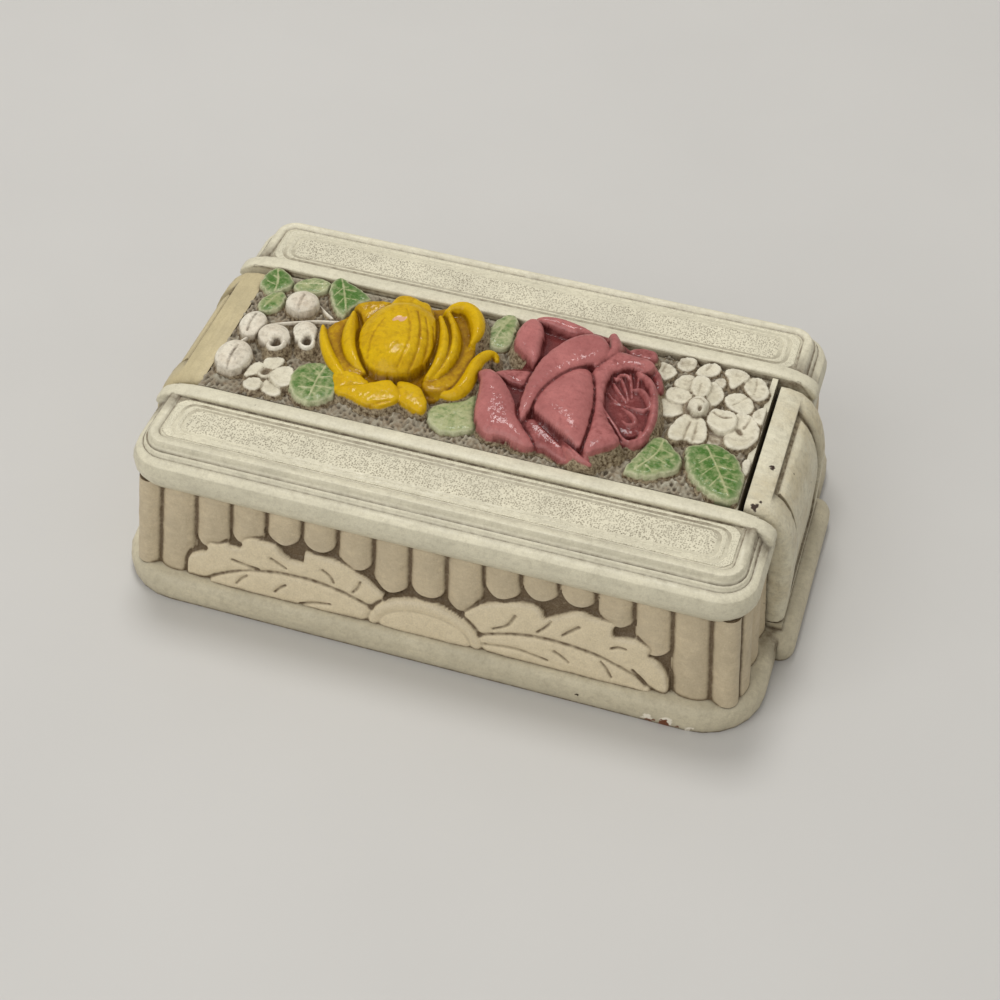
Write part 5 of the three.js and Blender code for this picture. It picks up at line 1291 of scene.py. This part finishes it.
class TRINKET_OT_walls(bpy.types.Operator):
    """Carves the fluted walls, with leaves and a fan on the front and the back"""

    bl_idname = "trinket.walls"
    bl_label = "Fluted walls"

    def execute(self, context):
        paint = context.scene.trinket_paint
        step = context.scene.trinket_carving.wall_step / MM
        straight, side = (half + WALL_BATTER / 2 - WALL_CORNER for half in (WALL_HALF_X, WALL_HALF_Y))
        start = (straight + WALL_QUARTER + side - FRONT_INNER) / WALL_REACH
        stop = start + 2 * FRONT_INNER / WALL_REACH
        front = fluted_wall("front_wall_carving", -start, start, step, True)
        back = mirrored_piece(front, "back_wall_carving", (1, -1, 1))
        right = fluted_wall("right_end_fluting", start, stop, step * 1.3, False)
        left = fluted_wall("left_end_fluting", start, stop, step * 1.3, False, -1)
        material = finish("stained_fluting", painted, paint.tan, darker(paint.tan, 0.93), paint.antique,
                          0.6, tone=(0.905, 0.845, 0.715), edges=0, glaze=1.5, grain=0.22)
        for piece, node in ((front, "front_wall"), (back, "back_wall"), (left, "left_end_wall"),
                            (right, "right_end_wall")):
            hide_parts(node)
            finish_piece(piece, material, "case")
        return {"FINISHED"}


class TRINKET_OT_blocks(bpy.types.Operator):
    """Dresses the two end blocks and the lifting block's tongue"""

    bl_idname = "trinket.blocks"
    bl_label = "End blocks"

    def execute(self, context):
        paint = context.scene.trinket_paint
        # The lid's end block is painted darker and yellower than the cream: partly yellowed paint, partly
        # painted shade
        yellowed_and_shaded = tinted(paint.cream, (0.90, 0.86, 0.765))
        yellowed_and_shaded_paint = finish("yellowed_cream_paint", painted, yellowed_and_shaded, darker(yellowed_and_shaded, 0.93), paint.antique, 0.5,
                       brush=(1, 0.1, 1), ridges=0.5)
        wood = finish("close_grained_wood", plain_wood, (0.66, 0.53, 0.36), (0.52, 0.4, 0.26))
        finish_piece(dressed("lid_block", "lid_end_block"), yellowed_and_shaded_paint, "lid")
        mottled = tinted(paint.cream, (0.92, 0.89, 0.84))
        worn = finish("worn_cream_paint", painted, paint.cream, mottled, paint.antique, 0.5,
                      specks=1.0, grain=0.25, marks=MARKS, mottle=0.28)
        finish_piece(dressed("lifting_block", "key_block"), worn, "key")
        finish_piece(dressed("lifting_tongue", "key_tongue"), wood, "key")
        return {"FINISHED"}


class TRINKET_OT_lid(bpy.types.Operator):
    """Dresses the lid's board and cuts its uneven ground"""

    bl_idname = "trinket.lid"
    bl_label = "Lid board"

    def execute(self, context):
        paint = context.scene.trinket_paint
        finish_piece(dressed("lid_panel", "lid_board"), cream_paint(), "lid")
        level = GROUND + 1.1
        board = Petal(level, level + 0.1, 1.0, 0.5, framed((-64.6, -26.0), (63.4, 19.6)))
        scraps = relief("gouged_ground", [board, *SCRAPS], 0.3, sink=0.5, texture=0.7)
        ground = finish("stained_ground", painted, darker(paint.cream, 0.81), darker(paint.cream, 0.67),
                        darker(paint.antique, 0.75), 0.7, tone=(0.53, 0.45, 0.35), edges=0,
                        mottle=0.45, rub=0.7)
        finish_piece(scraps, ground, "lid")
        return {"FINISHED"}


class TRINKET_OT_bloom(bpy.types.Operator):
    """Carves the yellow bloom"""

    bl_idname = "trinket.bloom"
    bl_label = "Yellow bloom"

    def execute(self, context):
        return carve(
            {"yellow_bloom": BLOOM}, context.scene.trinket_carving.flower_step / MM, 0.05, "yellow_paint",
            "glossy_yellow_paint", context.scene.trinket_paint.bloom, (0.81, 0.635, 0.01), (0.46, 0.30, 0.01),
            0.6, tone=(0.62, 0.44, 0.015), coat=0.32, chip=(0.84, 0.66, 0.52), specks=0, glaze=0.95,
            grain=0.1, rub=0.12, mottle=0.15)


class TRINKET_OT_rose(bpy.types.Operator):
    """Carves the rose"""

    bl_idname = "trinket.rose"
    bl_label = "Rose"

    def execute(self, context):
        return carve(
            {"rose": ROSE}, context.scene.trinket_carving.flower_step / MM, 0.05, "rose_paint",
            "glossy_pink_paint", context.scene.trinket_paint.rose, (0.64, 0.37, 0.36), (0.34, 0.12, 0.12),
            0.6, tone=(0.43, 0.16, 0.155), coat=0.42, specks=0, grain=0.1, rub=0.3, mottle=0.2)


class TRINKET_OT_leaves(bpy.types.Operator):
    """Carves the leaves on the lid"""

    bl_idname = "trinket.leaves"
    bl_label = "Leaves"

    def execute(self, context):
        return carve(
            LEAVES, 0.22, 0.06, "leaf_paint", "streaked_leaf_paint", (0.66, 0.68, 0.48), (0.76, 0.76, 0.60),
            (0.24, 0.25, 0.13), 0.5, tone=context.scene.trinket_paint.leaf, rim=(0.80, 0.80, 0.66),
            coat=0.25, specks=0.3, glaze=0.8, rub=0.6, mottle=0.06, patchy_tone=0.5)


class TRINKET_OT_berries(bpy.types.Operator):
    """Carves the berries and their stem"""

    bl_idname = "trinket.berries"
    bl_label = "Berries"

    def execute(self, context):
        for forms, texture in ((BERRIES, 0.07), ({"berry_stem": STEM}, 0.02)):
            carve(forms, 0.2, texture, "berry_paint", "mottled_berry_paint", (0.93, 0.90, 0.82),
                  (0.83, 0.77, 0.68), context.scene.trinket_paint.antique, 0.5, tone=(0.27, 0.20, 0.14),
                  specks=0.8, mottle=0.4, grain=0.25)
        return {"FINISHED"}


class TRINKET_OT_blossoms(bpy.types.Operator):
    """Carves the small white blossoms"""

    bl_idname = "trinket.blossoms"
    bl_label = "Blossoms"

    def execute(self, context):
        forms = {node: broadened(shapes) for node, shapes in BLOSSOM_SETS.items()}
        return carve(
            forms, 0.22, 0.06, "blossom_paint", "off_white_blossom_paint", (0.89, 0.86, 0.765),
            (0.82, 0.785, 0.68), context.scene.trinket_paint.antique, 0.55, tone=(0.50, 0.43, 0.33),
            specks=0.3, mottle=0.25, grain=0.2)


class TRINKET_PT_panel(bpy.types.Panel):
    """Lists the steps and the settings"""

    bl_idname = "TRINKET_PT_panel"
    bl_label = "Trinket Box"
    bl_space_type = "VIEW_3D"
    bl_region_type = "UI"
    bl_category = "Trinket Box"

    def draw(self, context):
        for settings in SETTINGS:
            group = getattr(context.scene, settings)
            box = self.layout.box()
            for name in group.bl_rna.properties.keys():
                if name not in ("rna_type", "name"):
                    box.prop(group, name)
        for operator in OPERATORS:
            self.layout.operator(operator.bl_idname)


OPERATORS = (
    TRINKET_OT_stage, TRINKET_OT_case, TRINKET_OT_walls, TRINKET_OT_blocks, TRINKET_OT_lid, TRINKET_OT_bloom,
    TRINKET_OT_rose, TRINKET_OT_leaves, TRINKET_OT_berries, TRINKET_OT_blossoms,
)
SETTINGS = {
    "trinket_paint": PaintSettings,
    "trinket_carving": CarvingSettings,
    "trinket_stage": StageSettings,
}


def register():
    for group in SETTINGS.values():
        bpy.utils.register_class(group)
    for name, group in SETTINGS.items():
        setattr(bpy.types.Scene, name, bpy.props.PointerProperty(type=group))
    for operator in (*OPERATORS, TRINKET_PT_panel):
        bpy.utils.register_class(operator)


def unregister():
    for operator in reversed((*OPERATORS, TRINKET_PT_panel)):
        bpy.utils.unregister_class(operator)
    for name, group in SETTINGS.items():
        delattr(bpy.types.Scene, name)
        bpy.utils.unregister_class(group)


def main():
    register()
    bpy.ops.trinket.stage()
    bpy.ops.trinket.case()
    bpy.ops.trinket.walls()
    bpy.ops.trinket.blocks()
    bpy.ops.trinket.lid()
    bpy.ops.trinket.bloom()
    bpy.ops.trinket.rose()
    bpy.ops.trinket.leaves()
    bpy.ops.trinket.berries()
    bpy.ops.trinket.blossoms()
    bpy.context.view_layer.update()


if __name__ == "__main__":
    main()
